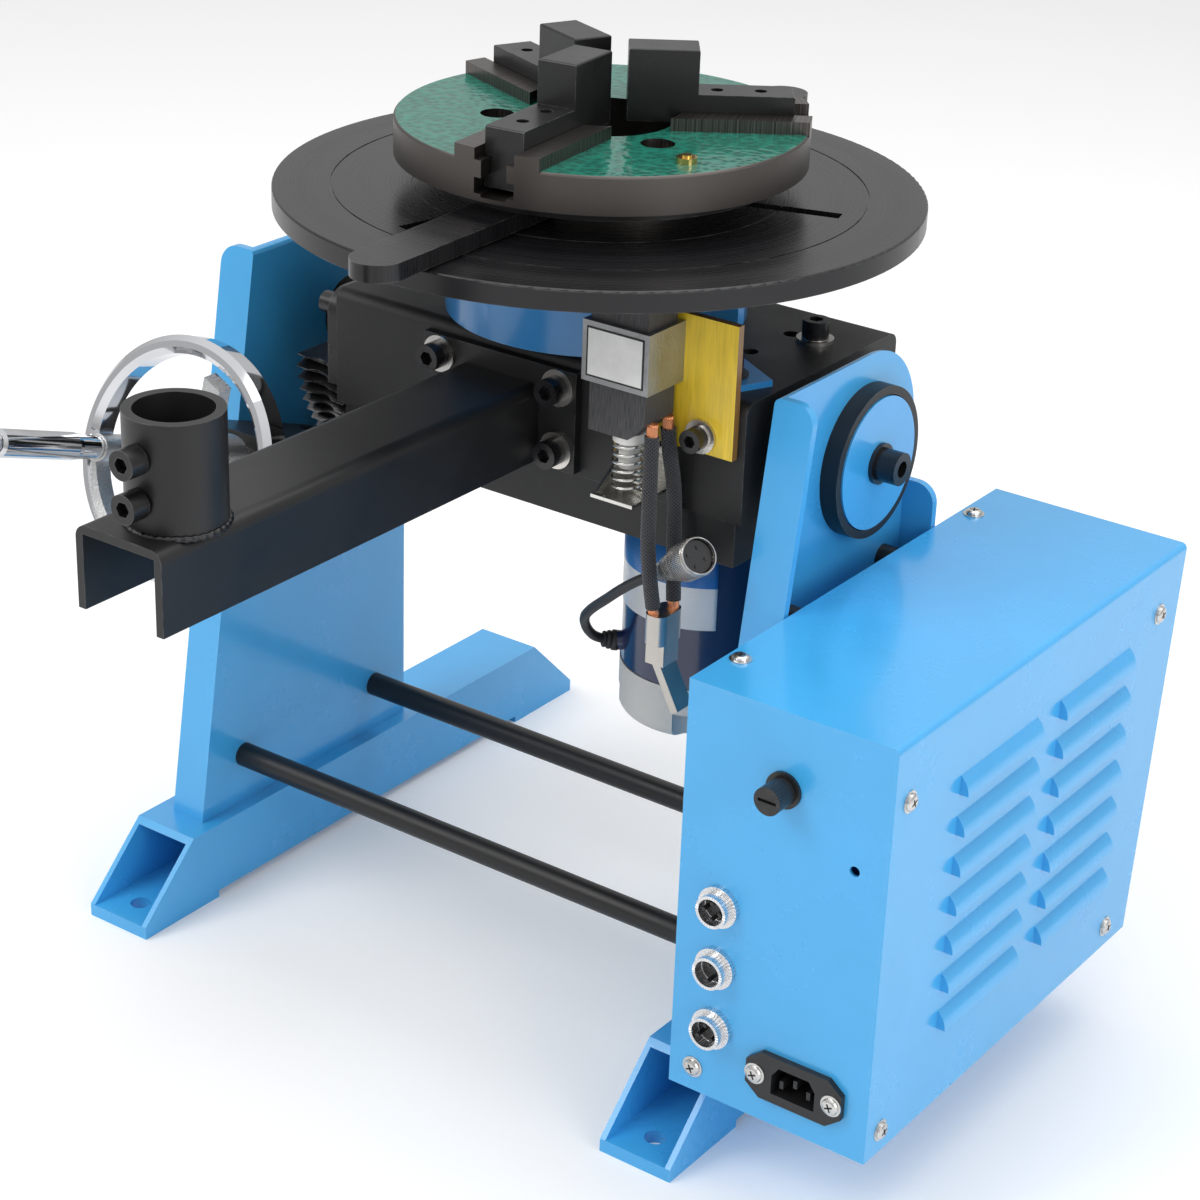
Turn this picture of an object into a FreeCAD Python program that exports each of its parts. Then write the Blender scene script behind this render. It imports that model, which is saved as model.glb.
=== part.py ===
"""Benchtop welding positioner: a worm-tilted head that carries a motor-driven turntable
with a three-jaw scroll chuck, on a two-footed frame with its control box.

Millimetres, +Z up. The origin lies on the floor at the centre of the foot bolt pattern.
+X runs along the tilt axis towards the control box, -Y towards the torch arm.
"""
import FreeCAD, Part
import math
import os
import Sketcher
from FreeCAD import Placement, Rotation, Vector

doc = FreeCAD.newDocument("WeldingPositioner")
sheet = doc.addObject("Spreadsheet::Sheet", "Sizes")

SIZES = {
    # frame: feet, side plates, crossbars
    "plate_spacing": 310, "plate_thickness": 4, "plate_height": 351, "plate_front_foot": -134,
    "plate_front_top": -85, "plate_rear": 36, "plate_top_radius": 44, "flange_width": 21,
    "rear_flange_height": 276, "flange_corner": 10, "bend_radius": 6,
    "foot_width": 40, "foot_tube_height": 40, "foot_wall": 3, "foot_length": 374,
    "foot_inboard": 8, "foot_end_slant": 38, "pad_thickness": 4, "pad_length": 56,
    "foot_hole_radius": 5.5, "foot_hole_spacing": 340,
    "crossbar_radius": 6.5, "crossbar_height": 72, "front_crossbar_place": -100.6,
    "rear_crossbar_place": 7.8, "standoff_upper": 240, "standoff_lower": 104,
    "standoff_front": -72, "standoff_rear": 16, "frame_bolt_radius": 3, "frame_bolt_head": 5.5,
    # tilt axis and its bearings
    "tilt_axis_place": -11, "tilt_axis_height": 300, "trunnion_radius": 15,
    "running_clearance": 0.05,
    "bush_flange_radius": 37, "bush_sleeve_radius": 20, "bush_flange_width": 9,
    "bush_recess": 2.6, "cap_radius": 32.4, "cap_thickness": 3, "cap_washer_radius": 10,
    "cap_washer_thickness": 2, "cap_bolt_head": 8, "cap_bolt_length": 10.5, "trunnion_flange": 30,
    # tilting head
    "spindle_place_x": 17, "spindle_place_y": -30, "head_left": -92, "head_length": 239,
    "head_width": 130, "head_top": 347.7, "head_cover_height": 58, "head_wall": 4,
    "base_height": 22.7, "base_inset": 2, "base_end_inset": 4, "base_wall": 4,
    "cover_bolt_x": 124, "cover_bolt_y": -2, "spare_hole_step": 13, "spare_hole_x": 109,
    "spare_hole_y": -35,
    # spindle, housing and drive
    "housing_radius": 73, "housing_height": 48.3, "housing_wall": 5, "housing_top": 8,
    "web_reach": 24, "web_place": 20, "web_thickness": 5,
    "tab_width": 34, "tab_reach": 20, "tab_point": 8, "tab_thickness": 3, "small_bolt_radius": 3,
    "bolt_clearance": 0.1, "spindle_radius": 20, "bearing_radius": 36, "bearing_width": 15,
    "lower_bearing_radius": 30,
    "gear_module": 2, "gear_teeth": 56, "pinion_teeth": 14, "gear_width": 14, "gear_height": 300,
    "mesh_backlash": 0.4, "motor_offset": 70, "motor_radius": 39, "motor_length": 86,
    "motor_shaft_radius": 6, "gland_radius": 5, "gland_length": 3.5, "gland_rise": 8,
    "gland_angle": 38, "motor_cap_length": 28, "motor_cap_radius": 39.6,
    # worm tilt drive
    "worm_module": 2, "sector_teeth": 64, "sector_width": 28, "sector_place": -119,
    "sector_face_radius": 68.6, "sector_flange_width": 118, "sector_flange_height": 48,
    "sector_flange_bottom": 295, "sector_gap": 2, "sector_bolt_inset": 14, "sector_bolt_drop": 14,
    "worm_pitch_radius": 12.5, "worm_length": 48, "worm_slope": 19,
    "worm_shaft_radius": 8, "bracket_reach": 104, "bracket_start": 34, "bracket_half_height": 14,
    "bracket_tail": 48, "bracket_wall": 6,
    "handwheel_distance": 150, "handwheel_radius": 60, "rim_width": 9, "rim_depth": 15,
    "dish_depth": 23, "hub_radius": 14, "hub_length": 22, "spoke_width": 12, "spoke_thickness": 7,
    "crank_radius": 47, "crank_angle": 187, "grip_radius": 7, "grip_length": 68,
    "grip_pin_radius": 3.5,
    "grip_edge": 1.5,
    # turntable and chuck
    "table_radius": 155, "table_thickness": 10, "table_top": 408, "inner_ring": 89,
    "outer_ring": 127.7, "ring_depth": 0.5, "ring_width": 1, "table_slot_width": 8,
    "table_slot_start": 66, "table_slot_end": 117.5, "table_slot_angle": 17,
    "chuck_radius": 98, "chuck_bottom": 423, "chuck_height": 18, "ridge_rise": 6, "ridge_width": 44,
    "chuck_bore": 34, "chuck_hub_radius": 58, "scroll_recess": 77.5, "scroll_depth": 4,
    "jaw_angle": -83.6, "jaw_width": 20, "jaw_slot_clearance": 0.3, "jaw_neck": 12.6,
    "jaw_foot_height": 6, "jaw_outer": 89, "jaw_inner": 11, "jaw_step": 44, "jaw_base_top": 455.3,
    "jaw_top": 476, "jaw_hole_radius": 3, "jaw_outer_hole": 73.5, "jaw_inner_hole": 53,
    "chuck_bolt_circle": 49.5, "counterbore_radius": 8, "chuck_bolt_radius": 5,
    "nipple_angle": -26.4, "nipple_circle": 80.4, "nipple_radius": 4.8, "nipple_height": 2.6,
    "scroll_radius": 86, "scroll_thickness": 5.7, "scroll_clearance": 0.4, "lever_width": 25,
    "lever_thickness": 8, "lever_reach": 186, "lever_angle": 92.7,     # torch arm
    "arm_width": 48, "arm_height": 38, "arm_wall": 4, "arm_length": 250, "arm_offset": -5,
    "arm_top": 332, "arm_bend": 6, "mount_width": 90, "mount_height": 50, "mount_thickness": 5,
    "mount_bolt_x": 35, "mount_bolt_drop": 10, "mount_bolt_high": 1, "mount_bolt_pitch": 31,
    "mount_bolt_head": 6.5, "mount_bolt_length": 9, "mount_bolt_radius": 4,
    "mount_washer_radius": 9, "mount_washer": 1.6,
    "collar_radius": 21.4, "collar_bore": 17, "collar_height": 49, "collar_setback": 29.5,
    "clamp_bolt_head": 6.5, "clamp_bolt_length": 9, "clamp_bolt_low": 14, "clamp_bolt_high": 33,
    "clamp_gap": 0.5, "clamp_screw_radius": 4,
    # earth brush
    "insulator_width": 64, "insulator_height": 63.5, "insulator_bottom": 321.3,
    "insulator_thickness": 4, "insulator_start": 62,
    "insulator_bolt_inset": 17, "insulator_bolt_rise": 8, "sleeve_start": 62, "sleeve_width": 36,
    "sleeve_depth": 28, "sleeve_height": 28.5, "sleeve_bottom": 353, "sleeve_wall": 2.5,
    "brush_clearance": 0.3, "brush_bottom": 329, "brush_chamfer": 9, "table_gap": 0.3,
    "bush_pin_radius": 6.8, "bush_pin_length": 14, "bush_pin_collar": 4.5, "spring_radius": 8,
    "spring_wire": 1.6,
    "spring_turns": 6, "spring_gap": 0.1, "seat_top": 299, "seat_width": 23, "seat_depth": 31,
    "seat_sheet": 1.6,
    "seat_back": 20,
    # control box
    "box_left": 177.2, "box_width": 104.5, "box_front": -177, "box_depth": 272.4,
    "box_rear_slant": 18,
    "box_bottom": 48.2, "box_height": 206.9, "box_sheet": 1.5, "louvre_pitch": 20,
    "louvre_count": 7,
    "louvre_length": 70, "louvre_height": 12, "louvre_rise": 4.5, "louvre_low": 42,
    "louvre_sheet": 1.2,
    "louvre_first": 57, "louvre_second": 149, "socket_place": 22.3, "socket_low": 38,
    "socket_pitch": 31.8, "socket_radius": 8, "socket_flange": 10, "socket_reach": 8,
    "fuse_place": 50.8, "fuse_height": 170, "fuse_hole": 6, "fuse_cap_radius": 6.6,
    "fuse_cap_length": 12, "vent_place": 88, "vent_height": 143.5, "vent_radius": 2.5,
    "inlet_place": 67.5, "inlet_height": 25.6, "inlet_screw_pitch": 40, "inlet_width": 50,
    "inlet_flange_height": 24, "inlet_flange": 3, "knob_radius": 13, "knob_length": 16,
    "switch_width": 13.5, "switch_height": 19.5, "knob_drop": 56.9, "power_row": 96,
    "direction_drop": 25.9,
    "control_column": 50, "knob_shaft": 3, "switch_frame": 2.5, "switch_gap": 1.5,
    "switch_depth": 12,
    "switch_pivot": 1.5, "switch_tilt": 8, "lip_width": 12, "screw_head_radius": 4,
    "screw_head": 2.2, "screw_radius": 1.8, "screw_inset": 12, "board_height": 10,
    "socket_bore": 6.4, "socket_wall_gap": 0.1, "fuse_flange": 8.6, "blade_radius": 1,
}


class Size:
    """A length or angle: its formula in the sheet's aliases and its value today."""

    def __init__(self, formula, value):
        self.formula = formula
        self.value = float(value)

    def joined(self, sign, other, swapped=False):
        if not isinstance(other, Size):
            other = Size(repr(other), other)
        left, right = (other, self) if swapped else (self, other)
        results = {"+": lambda a, b: a + b, "-": lambda a, b: a - b,
                   "*": lambda a, b: a * b, "/": lambda a, b: a / b}
        value = results[sign](left.value, right.value)
        return Size(f"({left.formula} {sign} {right.formula})", value)

    def __add__(self, other):
        return self.joined("+", other)

    def __radd__(self, other):
        return self.joined("+", other, True)

    def __sub__(self, other):
        return self.joined("-", other)

    def __rsub__(self, other):
        return self.joined("-", other, True)

    def __mul__(self, other):
        return self.joined("*", other)

    def __rmul__(self, other):
        return self.joined("*", other, True)

    def __truediv__(self, other):
        return self.joined("/", other)

    def __neg__(self):
        return self.joined("-", 0, True)

    def __float__(self):
        return self.value


def sine(angle):
    return Size(f"sin({angle.formula} * 1deg)", math.sin(math.radians(angle.value)))


def cosine(angle):
    return Size(f"cos({angle.formula} * 1deg)", math.cos(math.radians(angle.value)))


def fill_sheet():
    """Write every driving size into the sheet and hand back its Size by name."""
    sizes = {}
    for row, (name, value) in enumerate(SIZES.items(), start=1):
        sheet.set(f"A{row}", name.replace("_", " "))
        sheet.set(f"B{row}", str(value))
        sheet.setAlias(f"B{row}", name)
        sizes[name] = Size(f"Sizes.{name}", value)
    doc.recompute()
    return sizes


class Sizes:
    """The sheet's sizes as attributes."""

    def __init__(self, sizes):
        self.__dict__.update(sizes)


S = Sizes(fill_sheet())
ZERO = Size("0", 0)
knob_row = S.box_height - S.knob_drop
direction_row = S.box_height - S.direction_drop
NODES = []
TURNED = {"x": Rotation(Vector(0, 1, 0), 90), "y": Rotation(Vector(1, 0, 0), -90),
          "z": Rotation(), "-x": Rotation(Vector(0, 1, 0), -90), "-y": Rotation(Vector(1, 0, 0), 90),
          "-z": Rotation(Vector(1, 0, 0), 180)}


def bind(thing, prop, size):
    """Tie one property to the sheet."""
    if isinstance(size, Size):
        thing.setExpression(prop, size.formula)
    else:
        thing.setExpression(prop, repr(size))


def place(thing, x=0, y=0, z=0, rotation=None):
    if rotation is not None:
        thing.Placement = Placement(Vector(), rotation)
    for axis, size in (("x", x), ("y", y), ("z", z)):
        bind(thing, f"Placement.Base.{axis}", size)
    return thing


def block(name, length, width, height, x=0, y=0, z=0):
    """A box from its low corner."""
    made = doc.addObject("Part::Box", name)
    bind(made, "Length", length)
    bind(made, "Width", width)
    bind(made, "Height", height)
    return place(made, x, y, z)


def cylinder(name, radius, height, x=0, y=0, z=0, along="z"):
    """A cylinder from the centre of its starting face."""
    made = doc.addObject("Part::Cylinder", name)
    bind(made, "Radius", radius)
    bind(made, "Height", height)
    return place(made, x, y, z, TURNED[along])


def fused(name, *pieces, refine=True):
    made = doc.addObject("Part::MultiFuse", name)
    made.Shapes = list(pieces)
    made.Refine = refine
    return made


def without(name, base, *tools):
    made = doc.addObject("Part::Cut", name)
    made.Base = base
    made.Tool = tools[0] if len(tools) == 1 else fused(f"{name}_tools", *tools)
    made.Refine = True
    return made


def common(name, *pieces):
    made = doc.addObject("Part::MultiCommon", name)
    made.Shapes = list(pieces)
    return made


def group(name, *pieces):
    """Separate identical solids that share one node."""
    made = doc.addObject("Part::Compound", name)
    made.Links = list(pieces)
    return made


def node(thing, label):
    """Name a finished sub-part after its file."""
    thing.Label = label
    NODES.append(thing)
    return thing


def new_body(name):
    return doc.addObject("PartDesign::Body", f"{name}_body")


def new_sketch(body, name, plane, lift=ZERO):
    """A sketch on one of the body's own planes, lifted off it along the plane's normal."""
    made = body.newObject("Sketcher::SketchObject", name)
    support = next(item for item in body.Origin.OriginFeatures if item.Role == plane)
    made.AttachmentSupport = [(support, "")]
    made.MapMode = "FlatFace"
    bind(made, "AttachmentOffset.Base.z", lift)
    return made


def outline(sketch, corners):
    """A closed run of straight edges whose corners are tied to the sheet."""
    first = sketch.GeometryCount
    points = [Vector(float(x), float(y), 0) for x, y in corners]
    for start, end in zip(points, points[1:] + points[:1]):
        sketch.addGeometry(Part.LineSegment(start, end), False)
    count = len(points)
    for index in range(count):
        following = first + (index + 1) % count
        sketch.addConstraint(Sketcher.Constraint("Coincident", first + index, 2, following, 1))
    for index, corner in enumerate(corners):
        for kind, size in zip(("DistanceX", "DistanceY"), corner):
            made = sketch.addConstraint(
                Sketcher.Constraint(kind, -1, 1, first + index, 1, float(size)))
            if isinstance(size, Size) and size is not ZERO:
                bind(sketch, f"Constraints[{made}]", size)


def circle(sketch, x, y, radius):
    """A circle whose centre and radius are tied to the sheet."""
    made = sketch.addGeometry(Part.Circle(Vector(float(x), float(y), 0), Vector(0, 0, 1),
                                          float(radius)), False)
    for kind, size in (("DistanceX", x), ("DistanceY", y)):
        tie = sketch.addConstraint(Sketcher.Constraint(kind, -1, 1, made, 3, float(size)))
        if isinstance(size, Size) and size is not ZERO:
            bind(sketch, f"Constraints[{tie}]", size)
    tie = sketch.addConstraint(Sketcher.Constraint("Radius", made, float(radius)))
    bind(sketch, f"Constraints[{tie}]", radius)


def padded(body, sketch, length, reverse=False):
    made = body.newObject("PartDesign::Pad", f"{sketch.Name}_pad")
    made.Profile = sketch
    made.Reversed = reverse
    bind(made, "Length", length)
    sketch.Visibility = False
    doc.recompute()
    return made


def pocketed(body, sketch, length=None, reverse=False):
    """Cut a sketch's outline into the body, through all of it when no depth is given."""
    before = body.Shape.Volume
    made = body.newObject("PartDesign::Pocket", f"{sketch.Name}_pocket")
    made.Profile = sketch
    made.Reversed = reverse
    if length is None:
        made.Type = "ThroughAll"
    else:
        bind(made, "Length", length)
    doc.recompute()
    if body.Shape.Volume > before - 1e-3:
        raise RuntimeError(f"{sketch.Name} cuts nothing")
    return made


def revolved(body, sketch, axis="V_Axis"):
    made = body.newObject("PartDesign::Revolution", f"{sketch.Name}_turned")
    made.Profile = sketch
    made.ReferenceAxis = (sketch, [axis])
    made.Angle = 360
    doc.recompute()
    return made


def rounded(body, radius, wanted):
    """Fillet the tip's edges that a test picks."""
    base = body.Tip
    names = [f"Edge{number}" for number, edge in enumerate(base.Shape.Edges, start=1) if wanted(edge)]
    if not names:
        raise RuntimeError(f"{body.Name} has no such edge to round")
    made = body.newObject("PartDesign::Fillet", "rounded")
    made.Base = (base, names)
    bind(made, "Radius", radius)
    doc.recompute()
    if "Invalid" in made.State:
        raise RuntimeError(f"{body.Name} can't take that fillet")
    return made


def runs_along(edge, axis):
    """True for a straight edge parallel to the axis."""
    if not isinstance(edge.Curve, Part.Line):
        return False
    return abs(abs(edge.tangentAt(edge.FirstParameter).dot(axis)) - 1) < 1e-6


def near(edge, x=None, y=None, z=None, within=0.01):
    """True for an edge whose middle lies at the given coordinates."""
    middle = edge.valueAt((edge.FirstParameter + edge.LastParameter) / 2)
    wanted = ((middle.x, x), (middle.y, y), (middle.z, z))
    return all(size is None or abs(value - float(size)) < within for value, size in wanted)


def formed(name, shape, x=0, y=0, z=0, rotation=None):
    """A piece whose shape is worked out here from the sheet's sizes."""
    made = doc.addObject("Part::Feature", name)
    made.Shape = shape
    return place(made, x, y, z, rotation)


X_AXIS, Y_AXIS, Z_AXIS = Vector(1, 0, 0), Vector(0, 1, 0), Vector(0, 0, 1)
SIDES = ((-1, "left"), (1, "right"))
PRESSURE_ANGLE = 20
ROOT_SHARE, TIP_SHARE = 0.80, 0.26
half_spacing = S.plate_spacing / 2
foot_top = S.pad_thickness + S.foot_tube_height
foot_centre = half_spacing - S.foot_inboard + S.foot_width / 2
plate_outer = half_spacing + S.plate_thickness
base_top = S.head_top - S.head_cover_height
base_bottom = base_top - S.base_height
head_front = S.spindle_place_y - S.head_width / 2
head_right = S.head_left + S.head_length
table_bottom = S.table_top - S.table_thickness


# ---------------------------------------------------------------- frame

def make_foot(side, label):
    """A square tube with slanted open ends on two bolt-down pads."""
    half = S.foot_length / 2
    body = new_body(label)
    profile = new_sketch(body, f"{label}_outline", "YZ_Plane")
    top = half - S.foot_end_slant
    outline(profile, [(-half, S.pad_thickness), (half, S.pad_thickness),
                      (half, S.pad_thickness + S.foot_wall), (top, foot_top), (-top, foot_top),
                      (-half, S.pad_thickness + S.foot_wall)])
    padded(body, profile, S.foot_width)
    bore = new_sketch(body, f"{label}_bore", "XZ_Plane", -half - 1)
    low, high = S.foot_wall, S.foot_width - S.foot_wall
    floor, roof = S.pad_thickness + S.foot_wall, foot_top - S.foot_wall
    outline(bore, [(low, floor), (high, floor), (high, roof), (low, roof)])
    pocketed(body, bore, S.foot_length + 2, reverse=True)
    pads = new_sketch(body, f"{label}_pads", "XY_Plane")
    for end in (-1, 1):
        near_end, far_end = half * end, (half - S.pad_length) * end
        outline(pads, [(ZERO, near_end), (S.foot_width, near_end),
                       (S.foot_width, far_end), (ZERO, far_end)])
    padded(body, pads, S.pad_thickness)
    holes = new_sketch(body, f"{label}_holes", "XY_Plane")
    for end in (-1, 1):
        circle(holes, S.foot_width / 2, S.foot_hole_spacing / 2 * end, S.foot_hole_radius)
    pocketed(body, holes, floor + 1, reverse=True)
    place(body, foot_centre * side - S.foot_width / 2)
    return node(body, label)


def make_side_plate(side, label):
    """A folded upright: a web with a slanted front flange and a shorter rear flange."""
    t = S.plate_thickness
    body = new_body(label)
    web = new_sketch(body, f"{label}_web", "YZ_Plane")
    outline(web, [(S.plate_front_foot, foot_top), (S.plate_rear, foot_top),
                  (S.plate_rear, S.plate_height), (S.plate_front_top, S.plate_height)])
    for place_y in (S.front_crossbar_place, S.rear_crossbar_place):
        circle(web, place_y, S.crossbar_height, S.frame_bolt_radius)
    circle(web, S.tilt_axis_place, S.tilt_axis_height, S.bush_sleeve_radius)
    padded(body, web, t)
    rounded(body, S.plate_top_radius,
            lambda edge: runs_along(edge, X_AXIS) and near(edge, y=S.plate_rear, z=S.plate_height))
    front = new_sketch(body, f"{label}_front_flange", "YZ_Plane")
    outline(front, [(S.plate_front_foot, foot_top), (S.plate_front_foot + t, foot_top),
                    (S.plate_front_top + t, S.plate_height), (S.plate_front_top, S.plate_height)])
    padded(body, front, S.flange_width)
    rear = new_sketch(body, f"{label}_rear_flange", "YZ_Plane")
    outline(rear, [(S.plate_rear - t, foot_top), (S.plate_rear, foot_top),
                   (S.plate_rear, S.rear_flange_height), (S.plate_rear - t, S.rear_flange_height)])
    padded(body, rear, S.flange_width)
    rounded(body, S.flange_corner,
            lambda edge: runs_along(edge, Y_AXIS)
            and near(edge, x=S.flange_width)
            and edge.valueAt(edge.FirstParameter).z > float(S.rear_flange_height) - 1)
    rounded(body, S.bend_radius / 2, lambda edge: near(edge, x=0, y=S.plate_rear)
            and runs_along(edge, Z_AXIS) and edge.Length > float(foot_top))
    if side > 0:
        place(body, half_spacing)
    else:
        body.Placement = Placement(Vector(), Rotation())
        flipped = doc.addObject("Part::Mirroring", f"{label}_mirrored")
        flipped.Source = body
        flipped.Normal = X_AXIS
        place(flipped, -half_spacing)
        return node(flipped, label)
    return node(body, label)


def make_crossbars():
    """The two low rods that tie the side plates, drilled at both ends for their bolts."""
    bars = []
    for name, place_y in (("front", S.front_crossbar_place), ("rear", S.rear_crossbar_place)):
        bar = cylinder(f"{name}_bar", S.crossbar_radius, S.plate_spacing,
                       -half_spacing, place_y, S.crossbar_height, "x")
        depth = S.plate_thickness * 4
        drills = [cylinder(f"{name}_drill_{end}", S.frame_bolt_radius + S.running_clearance,
                           depth, half_spacing * end, place_y, S.crossbar_height,
                           "-x" if end > 0 else "x") for end in (-1, 1)]
        bars.append(without(f"{name}_crossbar", bar, *drills))
    return node(group("crossbars_group", *bars), "crossbars")


def make_frame_fasteners():
    """The crossbars' bolts and the control box's screws."""
    return node(group("frame_fasteners_group", *make_crossbar_bolts(), *make_box_screws()),
                "frame_fasteners")


def make_crossbar_bolts():
    """Socket bolts through the side plates into the crossbars' ends."""
    bolts = []
    for name, place_y in (("front", S.front_crossbar_place), ("rear", S.rear_crossbar_place)):
        for end in (-1, 1):
            outward = "x" if end > 0 else "-x"
            inward = "-x" if end > 0 else "x"
            head = cylinder(f"{name}_head_{end}", S.frame_bolt_head, S.frame_bolt_head,
                            plate_outer * end, place_y, S.crossbar_height, outward)
            shank = cylinder(f"{name}_shank_{end}", S.frame_bolt_radius, S.plate_thickness * 4,
                             plate_outer * end, place_y, S.crossbar_height, inward)
            socket = cylinder(f"{name}_socket_{end}", S.frame_bolt_head / 2, S.frame_bolt_radius,
                              (plate_outer + S.frame_bolt_head) * end, place_y,
                              S.crossbar_height, inward)
            bolts.append(without(f"{name}_bolt_{end}", fused(f"{name}_blank_{end}", head, shank),
                                 socket))
    return bolts


def make_standoffs():
    """Four rods that hold the control box off the right side plate."""
    rods = []
    for row, height in (("upper", S.standoff_upper), ("lower", S.standoff_lower)):
        for column, place_y in (("front", S.standoff_front), ("rear", S.standoff_rear)):
            rods.append(cylinder(f"{row}_{column}_standoff", S.crossbar_radius,
                                 S.box_left - plate_outer, plate_outer, place_y, height, "x"))
    return node(group("standoffs_group", *rods), "box_standoffs")


def make_tilt_bushes():
    return node(group("tilt_bushes_group", *(make_tilt_bush(side, name) for side, name in SIDES)),
                "tilt_bushes")


def make_tilt_bush(side, name):
    """A flanged bush in the side plate, recessed on its outer face for the cap."""
    label = f"{name}_tilt_bush"
    sleeve = cylinder(f"{label}_sleeve", S.bush_sleeve_radius, S.plate_thickness,
                      half_spacing * side, S.tilt_axis_place, S.tilt_axis_height,
                      "x" if side > 0 else "-x")
    flange = cylinder(f"{label}_flange", S.bush_flange_radius, S.bush_flange_width,
                      plate_outer * side, S.tilt_axis_place, S.tilt_axis_height,
                      "x" if side > 0 else "-x")
    bore = cylinder(f"{label}_bore", S.trunnion_radius + S.running_clearance,
                    S.plate_thickness + S.bush_flange_width + 2, (half_spacing - 1) * side,
                    S.tilt_axis_place, S.tilt_axis_height, "x" if side > 0 else "-x")
    recess = cylinder(f"{label}_recess", S.cap_radius + S.brush_clearance * 2, S.bush_recess + 1,
                      (plate_outer + S.bush_flange_width - S.bush_recess) * side,
                      S.tilt_axis_place, S.tilt_axis_height, "x" if side > 0 else "-x")
    return without(f"{label}_turned", fused(f"{label}_blank", sleeve, flange), bore, recess)


# ---------------------------------------------------------------- tilting head

def make_head_cover():
    """The folded steel cover of the head, open below, with closed ends."""
    body = new_body("head_cover")
    profile = new_sketch(body, "cover_profile", "XY_Plane", base_top)
    low_y, high_y = head_front, head_front + S.head_width
    outline(profile, [(S.head_left, low_y), (head_right, low_y), (head_right, high_y),
                      (S.head_left, high_y)])
    padded(body, profile, S.head_cover_height)
    rounded(body, S.bend_radius, lambda edge: near(edge, z=S.head_top) and runs_along(edge, X_AXIS))
    hollow = new_sketch(body, "cover_hollow", "XY_Plane", base_top)
    wall = S.head_wall
    outline(hollow, [(S.head_left + wall, low_y + wall), (head_right - wall, low_y + wall),
                     (head_right - wall, high_y - wall), (S.head_left + wall, high_y - wall)])
    pocketed(body, hollow, S.head_cover_height - wall, reverse=True)
    opening = new_sketch(body, "cover_opening", "XY_Plane", S.head_top - wall * 2)
    circle(opening, S.spindle_place_x, S.spindle_place_y, S.bearing_radius)
    pocketed(body, opening, wall * 3, reverse=True)
    holes = new_sketch(body, "cover_holes", "XY_Plane", S.head_top - wall * 2)
    circle(holes, S.cover_bolt_x, S.cover_bolt_y, S.mount_bolt_radius + S.bolt_clearance)
    circle(holes, S.cover_bolt_x - S.spare_hole_step, S.cover_bolt_y, S.mount_bolt_radius)
    circle(holes, S.spare_hole_x, S.spare_hole_y, S.mount_bolt_radius)
    pocketed(body, holes, wall * 3, reverse=True)
    front_holes = new_sketch(body, "cover_front_holes", "XZ_Plane", -head_front - wall * 2)
    for x, z in mount_bolt_places + [(insulator_bolt_x, insulator_bolt_z)]:
        circle(front_holes, x, z, S.mount_bolt_radius + S.bolt_clearance)
    pocketed(body, front_holes, wall * 3, reverse=True)
    return node(body, "head_cover")


def make_head_base():
    """The tray that closes the head from below and carries the motor."""
    body = new_body("head_base")
    profile = new_sketch(body, "base_profile", "XY_Plane", base_bottom)
    low_x, high_x = S.head_left + S.base_end_inset, head_right - S.base_end_inset
    low_y, high_y = head_front + S.base_inset, head_front + S.head_width - S.base_inset
    outline(profile, [(low_x, low_y), (high_x, low_y), (high_x, high_y), (low_x, high_y)])
    padded(body, profile, S.base_height)
    hollow = new_sketch(body, "base_hollow", "XY_Plane", base_bottom + S.base_wall)
    wall = S.base_wall
    outline(hollow, [(low_x + wall, low_y + wall), (high_x - wall, low_y + wall),
                     (high_x - wall, high_y - wall), (low_x + wall, high_y - wall)])
    pocketed(body, hollow, S.base_height, reverse=True)
    hole = new_sketch(body, "base_shaft_hole", "XY_Plane", base_bottom)
    circle(hole, S.spindle_place_x + S.motor_offset, S.spindle_place_y, S.motor_shaft_radius + 4)
    pocketed(body, hole, S.base_wall + 1, reverse=True)
    return node(body, "head_base")


def make_trunnion():
    """The right stub shaft: a flange against the head and a journal through the bush."""
    gap = half_spacing - head_right
    flange = cylinder("trunnion_flange_disc", S.trunnion_flange, gap - 2, head_right,
                      S.tilt_axis_place, S.tilt_axis_height, "x")
    reach = plate_outer + S.bush_flange_width - S.bush_recess - head_right + 0.2
    shaft = cylinder("trunnion_shaft", S.trunnion_radius, reach, head_right,
                     S.tilt_axis_place, S.tilt_axis_height, "x")
    return node(fused("right_trunnion_turned", flange, shaft), "right_trunnion")


def make_tilt_caps():
    """The painted discs on the trunnions' ends."""
    caps = []
    for side in (-1, 1):
        start = (plate_outer + S.bush_flange_width - S.bush_recess + 0.2) * side
        caps.append(cylinder(f"cap_{side}", S.cap_radius, S.cap_thickness, start,
                             S.tilt_axis_place, S.tilt_axis_height, "x" if side > 0 else "-x"))
    return node(group("tilt_caps_group", *caps), "tilt_caps")


def make_tilt_cap_bolts():
    """A washer and a socket bolt on each tilt cap."""
    bolts = []
    for side in (-1, 1):
        along = "x" if side > 0 else "-x"
        start = plate_outer + S.bush_flange_width - S.bush_recess + 0.2 + S.cap_thickness
        washer = cylinder(f"cap_washer_{side}", S.cap_washer_radius, S.cap_washer_thickness,
                          start * side, S.tilt_axis_place, S.tilt_axis_height, along)
        head = cylinder(f"cap_bolt_{side}", S.cap_bolt_head, S.cap_bolt_length,
                        (start + S.cap_washer_thickness) * side, S.tilt_axis_place,
                        S.tilt_axis_height, along)
        end = start + S.cap_washer_thickness + S.cap_bolt_length
        socket = cylinder(f"cap_socket_{side}", S.cap_bolt_head / 2, S.cap_bolt_length / 2,
                          (end - S.cap_bolt_length / 2) * side, S.tilt_axis_place,
                          S.tilt_axis_height, along)
        bolts.append(without(f"cap_bolt_cut_{side}", fused(f"cap_bolt_blank_{side}", washer, head),
                             socket))
    return bolts


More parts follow.
